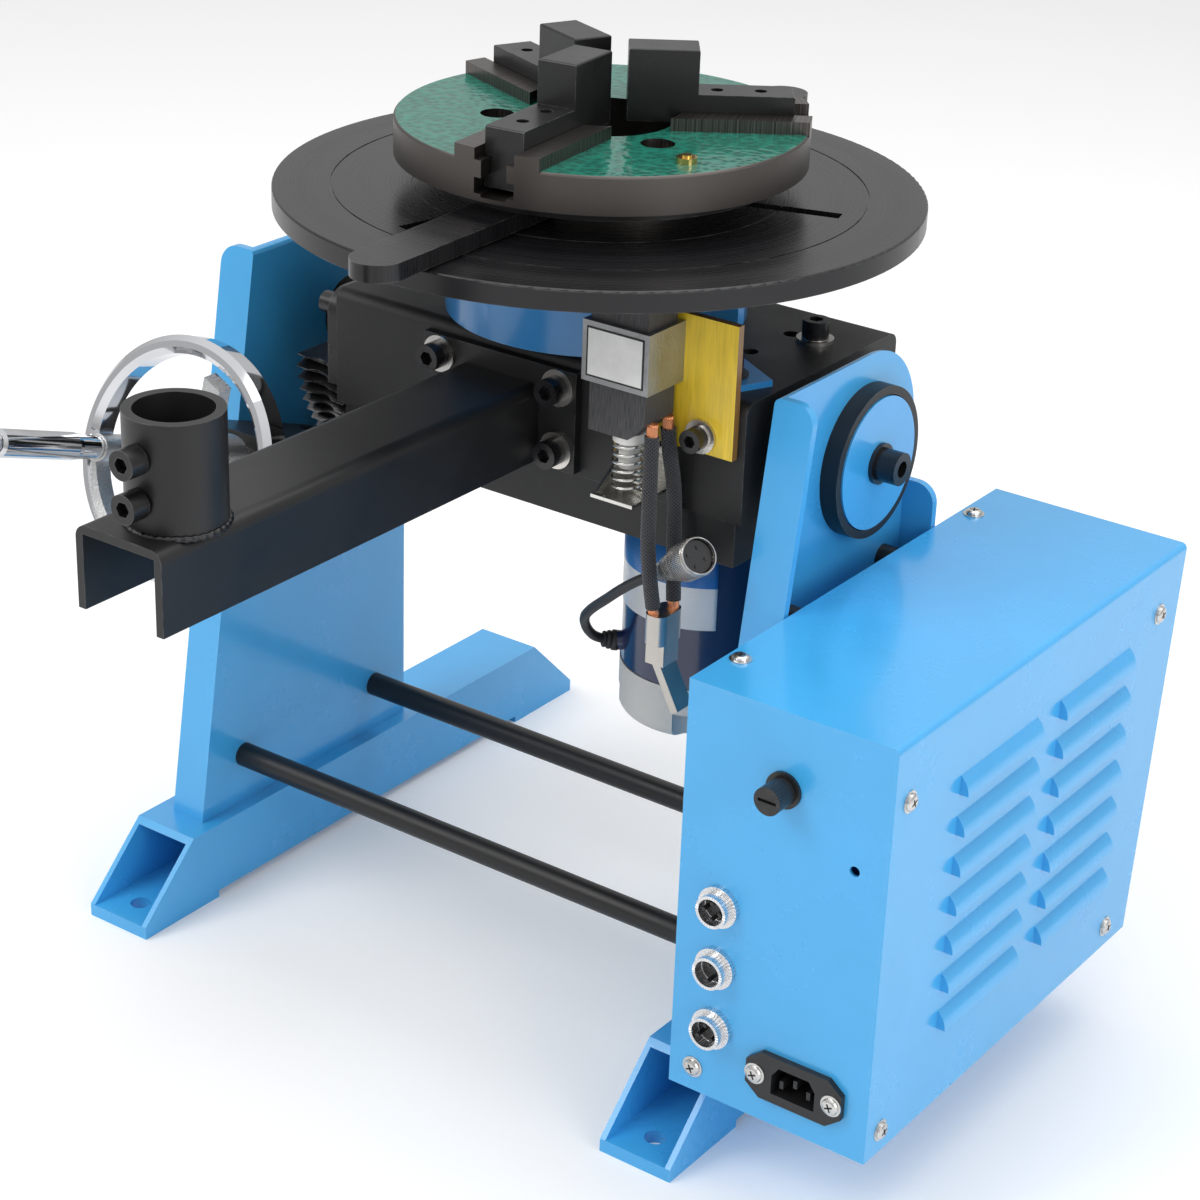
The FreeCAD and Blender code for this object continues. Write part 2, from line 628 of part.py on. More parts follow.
def make_housing():
    """The spindle housing: a tube with a bearing seat, and a bolted foot at its side."""
    body = new_body("spindle_housing")
    profile = new_sketch(body, "housing_profile", "XZ_Plane")
    inner = S.housing_radius - S.housing_wall
    top, ledge = S.housing_height, S.housing_height - S.housing_top - S.bearing_width
    seat = S.bearing_radius
    outline(profile, [(inner, ZERO), (S.housing_radius, ZERO), (S.housing_radius, top),
                      (S.spindle_radius + 3, top), (S.spindle_radius + 3, top - S.housing_top),
                      (seat, top - S.housing_top), (seat, ledge),
                      (inner, ledge)])
    revolved(body, profile)
    start = S.housing_radius - S.housing_wall
    web_end = S.housing_radius + S.web_reach
    web = new_sketch(body, "housing_web", "XY_Plane")
    outline(web, [(start, -S.web_place - S.web_thickness), (web_end, -S.web_place - S.web_thickness),
                  (web_end, -S.web_place), (start, -S.web_place)])
    padded(body, web, S.housing_height)
    foot = new_sketch(body, "housing_foot", "XY_Plane")
    outline(foot, [(start, -S.web_place - S.tab_width), (web_end + S.tab_reach,
                                                         -S.web_place - S.tab_width),
                   (web_end + S.tab_reach + S.tab_point, -S.web_place - S.tab_width / 2),
                   (web_end, -S.web_place), (start, -S.web_place)])
    padded(body, foot, S.tab_thickness)
    bolt_hole = new_sketch(body, "housing_bolt_hole", "XY_Plane")
    circle(bolt_hole, web_end + S.tab_reach / 2, -S.web_place - S.tab_width * 0.7,
           S.small_bolt_radius + S.bolt_clearance)
    pocketed(body, bolt_hole, S.tab_thickness, reverse=True)
    place(body, S.spindle_place_x, S.spindle_place_y, S.head_top)
    return node(body, "spindle_housing")


def spur_gear_shape(teeth, module, width, bore):
    """A straight-toothed gear with trapezoid teeth, centred on its axis."""
    pitch_radius = module * teeth / 2
    tip, root = pitch_radius + module, pitch_radius - 1.25 * module
    half_pitch = math.pi / teeth
    backlash = float(S.mesh_backlash) / (2 * pitch_radius)
    points = []
    for tooth in range(teeth):
        middle = 2 * half_pitch * tooth
        for radius, share in ((root, -ROOT_SHARE), (tip, -TIP_SHARE), (tip, TIP_SHARE),
                              (root, ROOT_SHARE)):
            angle = middle + share * half_pitch - math.copysign(backlash, share)
            points.append(Vector(radius * math.cos(angle), radius * math.sin(angle), 0))
    blank = Part.Face(Part.makePolygon(points + points[:1])).extrude(Vector(0, 0, width))
    return blank.cut(Part.makeCylinder(bore, width + 2, Vector(0, 0, -1)))


def make_spindle():
    """The spindle with the flange that carries the turntable."""
    bottom = base_bottom + S.base_wall + 1
    shaft = cylinder("spindle_bar", S.spindle_radius, table_bottom - bottom,
                     S.spindle_place_x, S.spindle_place_y, bottom)
    return node(shaft, "spindle_shaft")


def make_spindle_gear():
    shape = spur_gear_shape(int(SIZES["gear_teeth"]), float(S.gear_module), float(S.gear_width),
                            float(S.spindle_radius))
    made = formed("spindle_gear_cut", shape, S.spindle_place_x, S.spindle_place_y, S.gear_height)
    return node(made, "spindle_gear")


def make_motor_pinion():
    """The pinion and motor shaft; half a tooth pitch out so that its teeth fall in the gaps."""
    teeth = int(SIZES["pinion_teeth"])
    shape = spur_gear_shape(teeth, float(S.gear_module), float(S.gear_width),
                            float(S.motor_shaft_radius) - 1)
    shape.rotate(Vector(), Z_AXIS, 180 / teeth + 180)
    reach = S.gear_height - base_bottom
    shaft = Part.makeCylinder(float(S.motor_shaft_radius), float(reach + S.gear_width),
                              Vector(0, 0, -float(reach)))
    made = formed("motor_pinion_cut", shape.fuse(shaft).removeSplitter(),
                  S.spindle_place_x + S.motor_offset, S.spindle_place_y, S.gear_height)
    return node(made, "motor_pinion")


def make_bearings():
    """The upper and lower spindle bearings, each drawn as one ring."""
    rings = []
    upper = S.head_top + S.housing_height - S.housing_top - S.bearing_width
    lower = base_bottom + S.base_wall
    for name, radius, bottom in (("upper", S.bearing_radius, upper),
                                 ("lower", S.lower_bearing_radius, lower)):
        ring = cylinder(f"{name}_ring", radius, S.bearing_width, S.spindle_place_x,
                        S.spindle_place_y, bottom)
        bore = cylinder(f"{name}_ring_bore", S.spindle_radius + S.running_clearance,
                        S.bearing_width + 2, S.spindle_place_x, S.spindle_place_y, bottom - 1)
        rings.append(without(f"{name}_bearing", ring, bore))
    return node(group("spindle_bearings_group", *rings), "spindle_bearings")


def make_motor():
    """The motor's cylindrical case under the head."""
    centre_x = S.spindle_place_x + S.motor_offset
    case = cylinder("motor_barrel", S.motor_radius, S.motor_length, centre_x, S.spindle_place_y,
                    base_bottom - S.motor_length)
    gland = cylinder("motor_gland", S.gland_radius, S.motor_radius + S.gland_length)
    gland.Placement = Placement(Vector(), Rotation(Z_AXIS, SIZES["gland_angle"]).multiply(TURNED["-x"]))
    place(gland, centre_x, S.spindle_place_y, base_bottom - S.motor_length + S.gland_rise)
    well = cylinder("motor_well", S.motor_shaft_radius + 1, S.motor_length / 4, centre_x,
                    S.spindle_place_y, base_bottom - S.motor_length / 4 + 1)
    return node(without("motor_case_turned", fused("motor_case_blank", case, gland), well),
                "motor_case")


def make_motor_cap():
    """The motor's cast end cap with its four screw lobes."""
    centre_x = S.spindle_place_x + S.motor_offset
    bottom = base_bottom - S.motor_length - S.motor_cap_length
    body = new_body("motor_end_cap")
    disc = new_sketch(body, "cap_disc", "XY_Plane")
    circle(disc, ZERO, ZERO, S.motor_cap_radius)
    padded(body, disc, S.motor_cap_length)
    rounded(body, S.motor_cap_length / 4, lambda edge: near(edge, z=0))
    notch = new_sketch(body, "cap_notch", "XY_Plane")
    circle(notch, S.motor_cap_radius, ZERO, S.motor_cap_radius / 4)
    made = pocketed(body, notch, S.motor_cap_length / 2, reverse=True)
    pattern = body.newObject("PartDesign::PolarPattern", "cap_notches")
    pattern.Originals = [made]
    pattern.Axis = (disc, ["N_Axis"])
    pattern.Angle = 360
    pattern.Occurrences = 4
    body.Tip = pattern
    place(body, centre_x, S.spindle_place_y, bottom)
    bind(body, "Placement.Rotation.Angle", Size("30", 30))
    return node(body, "motor_end_cap")


# ---------------------------------------------------------------- worm tilt drive

sector_pitch_radius = S.worm_module * S.sector_teeth / 2
worm_distance = sector_pitch_radius + S.worm_pitch_radius
worm_y = S.tilt_axis_place - worm_distance * sine(S.worm_slope)
worm_z = S.tilt_axis_height - worm_distance * cosine(S.worm_slope)
WORM_TURN = Rotation(X_AXIS, 90 - float(S.worm_slope))


def on_worm_line(thing):
    """Lay a piece made along +Z on the worm's own line, which slopes up to the handwheel."""
    thing.Placement = Placement(Vector(), WORM_TURN)
    return place(thing, S.sector_place, worm_y, worm_z)


def make_sector():
    """The half worm wheel with its hub, its left trunnion and the flange bolted to the head."""
    module, teeth = float(S.worm_module), int(SIZES["sector_teeth"])
    width, pitch = float(S.sector_width), float(sector_pitch_radius)
    tip, root, face = pitch + module, pitch - 1.25 * module, float(S.sector_face_radius)
    distance = float(worm_distance)
    throat = distance - tip
    reach = math.sqrt(throat ** 2 - (distance - face) ** 2)
    hub = float(S.trunnion_radius)
    corners = [Vector(-width / 2, 0, hub / 2), Vector(-width / 2, 0, face), Vector(-reach, 0, face)]
    edges = [Part.LineSegment(a, b).toShape() for a, b in zip(corners, corners[1:])]
    edges.append(Part.Arc(Vector(-reach, 0, face), Vector(0, 0, tip), Vector(reach, 0, face)).toShape())
    corners = [Vector(reach, 0, face), Vector(width / 2, 0, face), Vector(width / 2, 0, hub / 2),
               Vector(-width / 2, 0, hub / 2)]
    edges += [Part.LineSegment(a, b).toShape() for a, b in zip(corners, corners[1:])]
    blank = Part.Face(Part.Wire(edges)).revolve(Vector(), X_AXIS, 180)
    blank.rotate(Vector(), X_AXIS, 90)
    lead = math.degrees(math.atan(module / (2 * float(S.worm_pitch_radius))))
    flank = math.tan(math.radians(PRESSURE_ANGLE))
    half_gap = math.pi * module / 4 + float(S.mesh_backlash) / 2
    gaps = []
    for index in range(-teeth // 2, teeth // 2):
        angle = 270 - float(S.worm_slope) + 360 / teeth * index
        if not 181 < angle < 359:
            continue
        narrow = half_gap + flank * (root - pitch)
        wide = half_gap + flank * (face + module - pitch)
        section = Part.makePolygon([Vector(0, -narrow, root), Vector(0, narrow, root),
                                    Vector(0, wide, face + module), Vector(0, -wide, face + module),
                                    Vector(0, -narrow, root)])
        tool = Part.Face(section).extrude(Vector(width * 1.5, 0, 0))
        tool.translate(Vector(-width * 0.75, 0, 0))
        tool.rotate(Vector(), Z_AXIS, -lead)
        tool.rotate(Vector(), X_AXIS, angle - 90)
        gaps.append(tool)
    toothed = blank.cut(gaps)
    boss_length = float(S.head_left - S.sector_place) - width / 2
    boss = Part.makeCylinder(float(S.trunnion_flange), width + boss_length, Vector(-width / 2, 0,
                                                                                   0), X_AXIS)
    wide, tall = float(S.sector_flange_width), float(S.sector_flange_height)
    flange = Part.makeBox(boss_length - float(S.sector_gap), wide, tall,
                          Vector(width / 2 + float(S.sector_gap), -wide / 2, 0))
    flange.translate(Vector(0, float(S.spindle_place_y - S.tilt_axis_place),
                            float(S.sector_flange_bottom - S.tilt_axis_height)))
    top = float(S.sector_flange_bottom - S.tilt_axis_height) + tall
    flange = flange.makeFillet(tall / 4, [edge for edge in flange.Edges
                                          if runs_along(edge, X_AXIS) and near(edge, z=top)])
    journal_end = float(plate_outer + S.bush_flange_width - S.bush_recess) + 0.2
    journal = Part.makeCylinder(hub, journal_end + float(S.sector_place),
                                Vector(-journal_end - float(S.sector_place), 0, 0), X_AXIS)
    bolt_y = float(head_front + S.sector_bolt_inset - S.tilt_axis_place)
    bolt_z = float(S.head_top - S.sector_bolt_drop - S.tilt_axis_height)
    hole = Part.makeCylinder(float(S.small_bolt_radius + S.bolt_clearance), boss_length * 2,
                             Vector(width / 2, bolt_y, bolt_z), X_AXIS)
    shape = toothed.fuse([boss, flange, journal]).removeSplitter().cut(hole)
    made = formed("sector_cut", shape, S.sector_place, S.tilt_axis_place, S.tilt_axis_height)
    return node(made, "sector_gear")


def worm_thread_shape(lead, turns, ridge):
    """A right-hand thread of flat facets; ridge lists its section as (radius, half width)."""
    steps = 14
    count = int(turns * steps)
    corners = [(radius, side * half) for side in (-1, 1) for radius, half in ridge[::-side]]
    rings = []
    for step in range(count + 1):
        turn = 2 * math.pi * step / steps
        lift = lead * (step / steps - turns / 2)
        rings.append([Vector(radius * math.cos(turn), radius * math.sin(turn), lift + along)
                      for radius, along in corners])
    faces = []
    sides = len(corners)
    for low, high in zip(rings, rings[1:]):
        for side in range(sides):
            following = (side + 1) % sides
            for three in ((low[side], low[following], high[following]),
                          (low[side], high[following], high[side])):
                faces.append(Part.Face(Part.makePolygon([*three, three[0]])))
    for ring in (rings[0], rings[-1]):
        faces.append(Part.Face(Part.makePolygon(ring + ring[:1])))
    thread = Part.Solid(Part.Shell(faces))
    if thread.Volume < 0:
        thread.reverse()
    return thread


def make_worm():
    """The single-start worm on its shaft, which runs up to the handwheel."""
    module, pitch_radius = float(S.worm_module), float(S.worm_pitch_radius)
    lead = math.pi * module
    core, outer = pitch_radius - 1.25 * module, pitch_radius + module
    flank = math.tan(math.radians(PRESSURE_ANGLE))
    half = math.pi * module / 4 - float(S.mesh_backlash) / 2
    sunk = core - module / 4
    ridge = [(sunk, half + flank * (pitch_radius - core)), (outer, half - flank * module)]
    turns = 2 * int(float(S.worm_length) / lead / 2)
    thread = worm_thread_shape(lead, turns, ridge)
    thread.rotate(Vector(), Z_AXIS, 90)
    half_length = lead * (turns / 2 + 1)
    barrel = Part.makeCylinder(core, 2 * half_length, Vector(0, 0, -half_length))
    shaft_end = float(S.handwheel_distance - S.dish_depth + S.hub_length / 2)
    tail = float(S.bracket_tail)
    shaft = Part.makeCylinder(float(S.worm_shaft_radius), shaft_end + tail, Vector(0, 0, -tail))
    made = formed("worm_cut", barrel.fuse([thread, shaft]))
    on_worm_line(made)
    return node(made, "worm_shaft")


def make_worm_bracket():
    """The black bearing block that holds the worm against the left side plate."""
    deep = half_spacing + S.sector_place
    tall = S.bracket_half_height
    back = block("bracket_back", S.bracket_wall, tall * 2, S.bracket_reach + S.bracket_tail,
                 -deep, -tall, -S.bracket_tail)
    front = block("bracket_front", deep + tall, tall * 2, S.bracket_reach - S.bracket_start,
                  -deep, -tall, S.bracket_start)
    rear = block("bracket_rear", deep + tall, tall * 2, S.bracket_tail - S.bracket_start,
                 -deep, -tall, -S.bracket_tail)
    bore = cylinder("bracket_bore", S.worm_shaft_radius + S.running_clearance,
                    S.bracket_reach + S.bracket_tail * 2, z=-S.bracket_tail * 1.5)
    made = without("worm_bracket_cut", fused("worm_bracket_blank", back, front, rear), bore)
    return node(on_worm_line(made), "worm_bracket")


def make_handwheel():
    """The dished three-spoke handwheel with the crank boss and pin on its rim."""
    rim_mid = S.handwheel_distance
    body = new_body("handwheel_rings")
    rim = new_sketch(body, "rim_profile", "XZ_Plane")
    outer, inner = S.handwheel_radius, S.handwheel_radius - S.rim_width
    low, high = rim_mid - S.rim_depth / 2, rim_mid + S.rim_depth / 2
    outline(rim, [(inner + 2, low), (outer - 2, low), (outer, low + 2), (outer, high - 3),
                  (outer - 3, high), (inner + 3, high), (inner, high - 3), (inner, low + 2)])
    revolved(body, rim)
    hub_low = rim_mid - S.dish_depth - S.hub_length / 2
    hub = cylinder("wheel_hub", S.hub_radius, S.hub_length, z=hub_low)
    spokes = []
    slope = math.degrees(math.atan2(SIZES["dish_depth"],
                                    SIZES["handwheel_radius"] - SIZES["hub_radius"]))
    for index in range(3):
        reach = (S.handwheel_radius - S.hub_radius) * 1.06
        spoke = block(f"spoke_{index}", reach, S.spoke_width, S.spoke_thickness)
        turn = Rotation(Z_AXIS, SIZES["crank_angle"] + 120 * index)
        lean = Rotation(Y_AXIS, -slope)
        offset = turn.multVec(Vector(float(S.hub_radius) - 3, -float(S.spoke_width) / 2, 0))
        spoke.Placement = Placement(Vector(offset.x, offset.y, 0), turn.multiply(lean))
        bind(spoke, "Placement.Base.z", hub_low + S.hub_length / 2 - S.spoke_thickness / 2)
        spokes.append(spoke)
    crank_x = S.crank_radius * cosine(S.crank_angle)
    crank_y = S.crank_radius * sine(S.crank_angle)
    boss = cylinder("crank_boss", S.grip_radius, S.rim_depth + S.grip_edge * 2, crank_x, crank_y,
                    low - S.grip_edge)
    pin_end = S.grip_edge + S.grip_length + S.table_gap
    pin = cylinder("crank_pin", S.grip_pin_radius, pin_end, crank_x, crank_y, high)
    pin_head = cylinder("crank_pin_head", S.grip_pin_radius + S.grip_edge, S.grip_edge, crank_x,
                        crank_y, high + pin_end)
    bore = cylinder("wheel_bore", S.worm_shaft_radius, S.hub_length + 2, z=hub_low - 1)
    made = without("handwheel_cast", fused("handwheel_blank", body, hub, boss, pin, pin_head, *spokes,
                                           refine=False), bore)
    made.Refine = False
    return node(on_worm_line(made), "handwheel")


def make_grip():
    """The revolving grip on the crank pin."""
    body = new_body("crank_grip")
    profile = new_sketch(body, "grip_profile", "XZ_Plane")
    bore, r, length = S.grip_pin_radius + 0.1, S.grip_radius, S.grip_length
    edge = S.grip_edge
    outline(profile, [(bore, S.table_gap), (r - edge, S.table_gap), (r - edge / 3, length * 0.22),
                      (r, length * 0.26), (r, length - edge), (r - edge, length), (bore, length)])
    revolved(body, profile)
    lift = S.handwheel_distance + S.rim_depth / 2 + S.grip_edge
    crank_x = S.crank_radius * cosine(S.crank_angle)
    crank_y = S.crank_radius * sine(S.crank_angle)
    carried = place(body, crank_x, crank_y, lift)
    holder = group("grip_on_line", carried)
    return node(on_worm_line(holder), "crank_grip")


# ---------------------------------------------------------------- turntable and chuck

def make_table():
    """The round table with two scribed rings, three radial slots and a clear centre."""
    body = new_body("turntable")
    disc = new_sketch(body, "table_disc", "XY_Plane", table_bottom)
    circle(disc, ZERO, ZERO, S.table_radius)
    padded(body, disc, S.table_thickness)
    rounded(body, S.ring_width, lambda edge: near(edge, z=S.table_top))
    for name, radius in (("inner", S.inner_ring), ("outer", S.outer_ring)):
        ring = new_sketch(body, f"{name}_ring", "XY_Plane", S.table_top - S.ring_depth)
        circle(ring, ZERO, ZERO, radius)
        circle(ring, ZERO, ZERO, radius - S.ring_width)
        pocketed(body, ring, S.ring_depth, reverse=True)
    slot = new_sketch(body, "table_slot", "XY_Plane", table_bottom)
    half = S.table_slot_width / 2
    outline(slot, [(S.table_slot_start, -half), (S.table_slot_end, -half),
                   (S.table_slot_end, half), (S.table_slot_start, half)])
    cut = pocketed(body, slot, S.table_thickness + 1, reverse=True)
    pattern = body.newObject("PartDesign::PolarPattern", "table_slots")
    pattern.Originals = [cut]
    pattern.Axis = (disc, ["N_Axis"])
    pattern.Angle = 360
    pattern.Occurrences = 3
    body.Tip = pattern
    place(body, S.spindle_place_x, S.spindle_place_y)
    body.Placement = Placement(body.Placement.Base, Rotation(Z_AXIS, SIZES["table_slot_angle"]))
    bind(body, "Placement.Rotation.Angle", S.table_slot_angle)
    return node(body, "turntable")


def about_spindle(thing, angle=None, z=0):
    """Centre a piece made at the origin on the spindle's axis, turned by an angle."""
    if angle is not None:
        thing.Placement = Placement(Vector(), Rotation(Z_AXIS, float(angle)))
    return place(thing, S.spindle_place_x, S.spindle_place_y, z)


chuck_top = S.chuck_bottom + S.chuck_height
ridge_top = chuck_top + S.ridge_rise
scroll_bottom = S.chuck_bottom - S.scroll_thickness - S.scroll_clearance
jaw_foot_bottom = S.chuck_bottom + S.scroll_depth + S.scroll_clearance
slot_half = S.jaw_width / 2 + S.jaw_slot_clearance
neck_half = S.jaw_neck / 2 + S.jaw_slot_clearance


def make_chuck_body():
    """The chuck body: a round plate with three raised ridges, T-slots, bores and a hub."""
    plate = cylinder("chuck_plate", S.chuck_radius, S.chuck_height, z=S.chuck_bottom)
    hub = cylinder("chuck_hub", S.chuck_hub_radius, S.chuck_bottom - S.table_top, z=S.table_top)
    edge = doc.addObject("Part::Chamfer", "chuck_plate_edge")
    doc.recompute()
    edge.Base = plate
    size = float(S.ring_width)
    edge.Edges = [(number, size, size) for number, item in enumerate(plate.Shape.Edges, start=1)
                  if isinstance(item.Curve, Part.Circle) and near(item, z=chuck_top)]
    ridges, cuts = [], []
    foot_top = jaw_foot_bottom + S.jaw_foot_height
    for index in range(3):
        angle = SIZES["jaw_angle"] + 120 * index
        ridge = block(f"ridge_{index}", S.chuck_radius, S.ridge_width, S.ridge_rise + 1)
        slot = block(f"jaw_slot_{index}", S.chuck_radius + 2, slot_half * 2, S.ridge_rise + 1)
        neck = block(f"jaw_neck_{index}", S.chuck_radius + 2, neck_half * 2, S.chuck_height)
        foot = block(f"jaw_foot_slot_{index}", S.chuck_radius + 2, slot_half * 2,
                     S.jaw_foot_height + S.jaw_slot_clearance + 1)
        for piece, half, lift in ((ridge, S.ridge_width / 2, chuck_top - 1),
                                  (slot, slot_half, chuck_top + 1 - S.jaw_slot_clearance),
                                  (neck, neck_half, S.chuck_bottom + 2),
                                  (foot, slot_half, jaw_foot_bottom - 1)):
            radians = math.radians(angle)
            piece.Placement = Placement(Vector(), Rotation(Z_AXIS, angle))
            bind(piece, "Placement.Base.x", half * math.sin(radians))
            bind(piece, "Placement.Base.y", half * (-math.cos(radians)))
            bind(piece, "Placement.Base.z", lift)
        ridges.append(ridge)
        cuts += [slot, neck, foot]
    trimmed = common("ridges_round", fused("ridges", *ridges),
                     cylinder("ridge_limit", S.chuck_radius, ridge_top + 1))
    bore = cylinder("chuck_bore", S.chuck_bore, ridge_top, z=S.table_top - 1)
    step = cylinder("chuck_bore_step", S.chuck_bore + 4, S.ridge_rise + 1, z=chuck_top)
    recess = cylinder("scroll_recess_bore", S.scroll_recess, S.scroll_depth, z=S.chuck_bottom)
    hub_clear = cylinder("scroll_recess_hub", S.chuck_hub_radius, S.scroll_depth, z=S.chuck_bottom)
    ring = without("scroll_recess_ring", recess, hub_clear)
    holes = []
    for index in range(3):
        angle = math.radians(SIZES["jaw_angle"] + 60 + 120 * index)
        x, y = S.chuck_bolt_circle * math.cos(angle), S.chuck_bolt_circle * math.sin(angle)
        holes.append(cylinder(f"counterbore_{index}", S.counterbore_radius, S.chuck_height * 0.6, x, y,
                              chuck_top - S.chuck_height * 0.6 + 1))
        holes.append(cylinder(f"bolt_hole_{index}", S.chuck_bolt_radius + S.bolt_clearance,
                              S.chuck_height * 2 + 2, x, y, S.table_top - 1))
    made = without("chuck_body_cut", fused("chuck_blank", edge, hub, trimmed),
                   bore, step, ring, *cuts, *holes)
    holder = group("chuck_body_placed", made)
    return node(about_spindle(holder), "chuck_body")


def make_chuck_bolts():
    """The three bolts sunk in the chuck body's counterbores."""
    bolts = []
    seat = chuck_top - S.chuck_height * 0.6 + 1
    for index in range(3):
        angle = math.radians(SIZES["jaw_angle"] + 60 + 120 * index)
        x = S.spindle_place_x + S.chuck_bolt_circle * math.cos(angle)
        y = S.spindle_place_y + S.chuck_bolt_circle * math.sin(angle)
        bolts.append(socket_bolt(f"chuck_bolt_{index}", x, y, seat, "z",
                                 S.counterbore_radius - S.clamp_gap, S.chuck_bolt_radius,
                                 S.chuck_bolt_radius, seat - S.table_top))
    return node(group("chuck_bolts_group", *bolts), "chuck_bolts")


def socket_bolt(name, x, y, z, along, head_radius, head_length, shank_radius, shank_length,
                washer_radius=None, washer_thickness=None):
    """A socket-head bolt whose seat is at the given place and whose head points along an axis."""
    opposite = along[1:] if along.startswith("-") else f"-{along}"
    step = {"x": (1, 0, 0), "-x": (-1, 0, 0), "y": (0, 1, 0), "-y": (0, -1, 0),
            "z": (0, 0, 1), "-z": (0, 0, -1)}[along]
    pieces = [cylinder(f"{name}_shank", shank_radius, shank_length, x, y, z, opposite)]
    lift = ZERO
    if washer_radius is not None:
        pieces.append(cylinder(f"{name}_washer", washer_radius, washer_thickness, x, y, z, along))
        lift = washer_thickness
    base = [size + lift * way for size, way in zip((x, y, z), step)]
    pieces.append(cylinder(f"{name}_head", head_radius, head_length, *base, along))
    top = [size + (lift + head_length) * way for size, way in zip((x, y, z), step)]
    hexagon = doc.addObject("Part::Prism", f"{name}_hexagon")
    hexagon.Polygon = 6
    bind(hexagon, "Circumradius", head_radius * 0.55)
    bind(hexagon, "Height", head_length * 0.5)
    place(hexagon, *top, TURNED[opposite])
    return without(f"{name}_bolt", fused(f"{name}_blank", *pieces), hexagon)


def make_grease_nipple():
    angle = math.radians(SIZES["nipple_angle"])
    x = S.spindle_place_x + S.nipple_circle * math.cos(angle)
    y = S.spindle_place_y + S.nipple_circle * math.sin(angle)
    base = cylinder("nipple_base", S.nipple_radius, S.nipple_height, x, y, chuck_top)
    dome = cylinder("nipple_dome", S.nipple_radius * 0.5, S.nipple_height * 1.4, x, y, chuck_top)
    return node(fused("nipple_turned", base, dome), "grease_nipple")


def make_scroll_lever():
    """The scroll ring under the chuck body with its two bar handles."""
    ring = cylinder("scroll_disc", S.scroll_radius, S.scroll_thickness, z=scroll_bottom)
    boss = cylinder("scroll_boss", S.scroll_recess - S.clamp_gap, S.scroll_depth + S.scroll_clearance,
                    z=S.chuck_bottom - S.scroll_clearance)
    bore = cylinder("scroll_bore", S.chuck_hub_radius + S.running_clearance,
                    S.chuck_height * 2, z=S.table_top)
    bars = []
    low = scroll_bottom - S.lever_thickness
    for index in range(2):
        turn = SIZES["lever_angle"] + 180 * index
        radians = math.radians(turn)
        bar = block(f"lever_bar_{index}", S.lever_reach - S.lever_width / 2, S.lever_width,
                    S.lever_thickness)
        bar.Placement = Placement(Vector(), Rotation(Z_AXIS, turn))
        bind(bar, "Placement.Base.x", S.lever_width / 2 * math.sin(radians))
        bind(bar, "Placement.Base.y", S.lever_width / 2 * (-math.cos(radians)))
        bind(bar, "Placement.Base.z", low)
        tip = S.lever_reach - S.lever_width / 2
        end = cylinder(f"lever_end_{index}", S.lever_width / 2, S.lever_thickness,
                       tip * math.cos(radians), tip * math.sin(radians), low)
        bars += [bar, end]
    made = without("scroll_cut", fused("scroll_blank", ring, boss, *bars), bore)
    holder = group("scroll_placed", made)
    return node(about_spindle(holder), "scroll_lever")


def make_jaw(index):
    """A two-step jaw with a T-shaped foot and two fixing holes."""
    label = f"jaw_{index + 1}"
    top_of_foot = jaw_foot_bottom + S.jaw_foot_height
    body = new_body(label)
    side = new_sketch(body, f"{label}_side", "XZ_Plane", -S.jaw_width / 2)
    neck_top = chuck_top + 1
    outline(side, [(S.jaw_inner, neck_top), (S.jaw_outer, neck_top), (S.jaw_outer, S.jaw_base_top),
                   (S.jaw_step, S.jaw_base_top), (S.jaw_step, S.jaw_top), (S.jaw_inner, S.jaw_top)])
    padded(body, side, S.jaw_width)
    rounded(body, S.ring_width, lambda edge: near(edge, z=S.jaw_top)
            or near(edge, x=S.jaw_outer, z=S.jaw_base_top))
    start = S.chuck_bore + 4
    for name, half, low, high in (("neck", S.jaw_neck / 2, top_of_foot - 1, neck_top),
                                  ("foot", S.jaw_width / 2, jaw_foot_bottom, top_of_foot)):
        sketch = new_sketch(body, f"{label}_{name}", "XY_Plane", low)
        outline(sketch, [(start, -half), (S.jaw_outer, -half), (S.jaw_outer, half), (start, half)])
        padded(body, sketch, high - low)
    holes = new_sketch(body, f"{label}_holes", "XY_Plane", S.jaw_base_top - S.ridge_rise)
    circle(holes, S.jaw_outer_hole, ZERO, S.jaw_hole_radius)
    circle(holes, S.jaw_inner_hole, ZERO, S.jaw_hole_radius)
    pocketed(body, holes, S.ridge_rise + 1, reverse=True)
    holder = group(f"{label}_placed", body)
    return node(about_spindle(holder, SIZES["jaw_angle"] + 120 * index), label)


# ---------------------------------------------------------------- torch arm

arm_x = S.spindle_place_x + S.arm_offset
plate_front = head_front - S.mount_thickness
mount_bolt_places = [(arm_x + S.mount_bolt_x * side, S.arm_top - drop)
                     for side in (-1, 1)
                     for drop in (-S.mount_bolt_high, S.mount_bolt_pitch - S.mount_bolt_high)]


def make_arm_plate():
    """The plate that carries the torch arm, bolted to the head's front."""
    low = S.arm_top - S.mount_height + S.mount_bolt_drop
    blank = block("arm_plate_blank", S.mount_width, S.mount_thickness, S.mount_height,
                  arm_x - S.mount_width / 2, plate_front, low)
    holes = [cylinder(f"arm_plate_hole_{index}", S.mount_bolt_radius + S.bolt_clearance,
                      S.mount_thickness + 2, x, head_front + 1, z, "-y")
             for index, (x, z) in enumerate(mount_bolt_places)]
    return node(without("arm_plate_drilled", blank, *holes), "arm_plate")


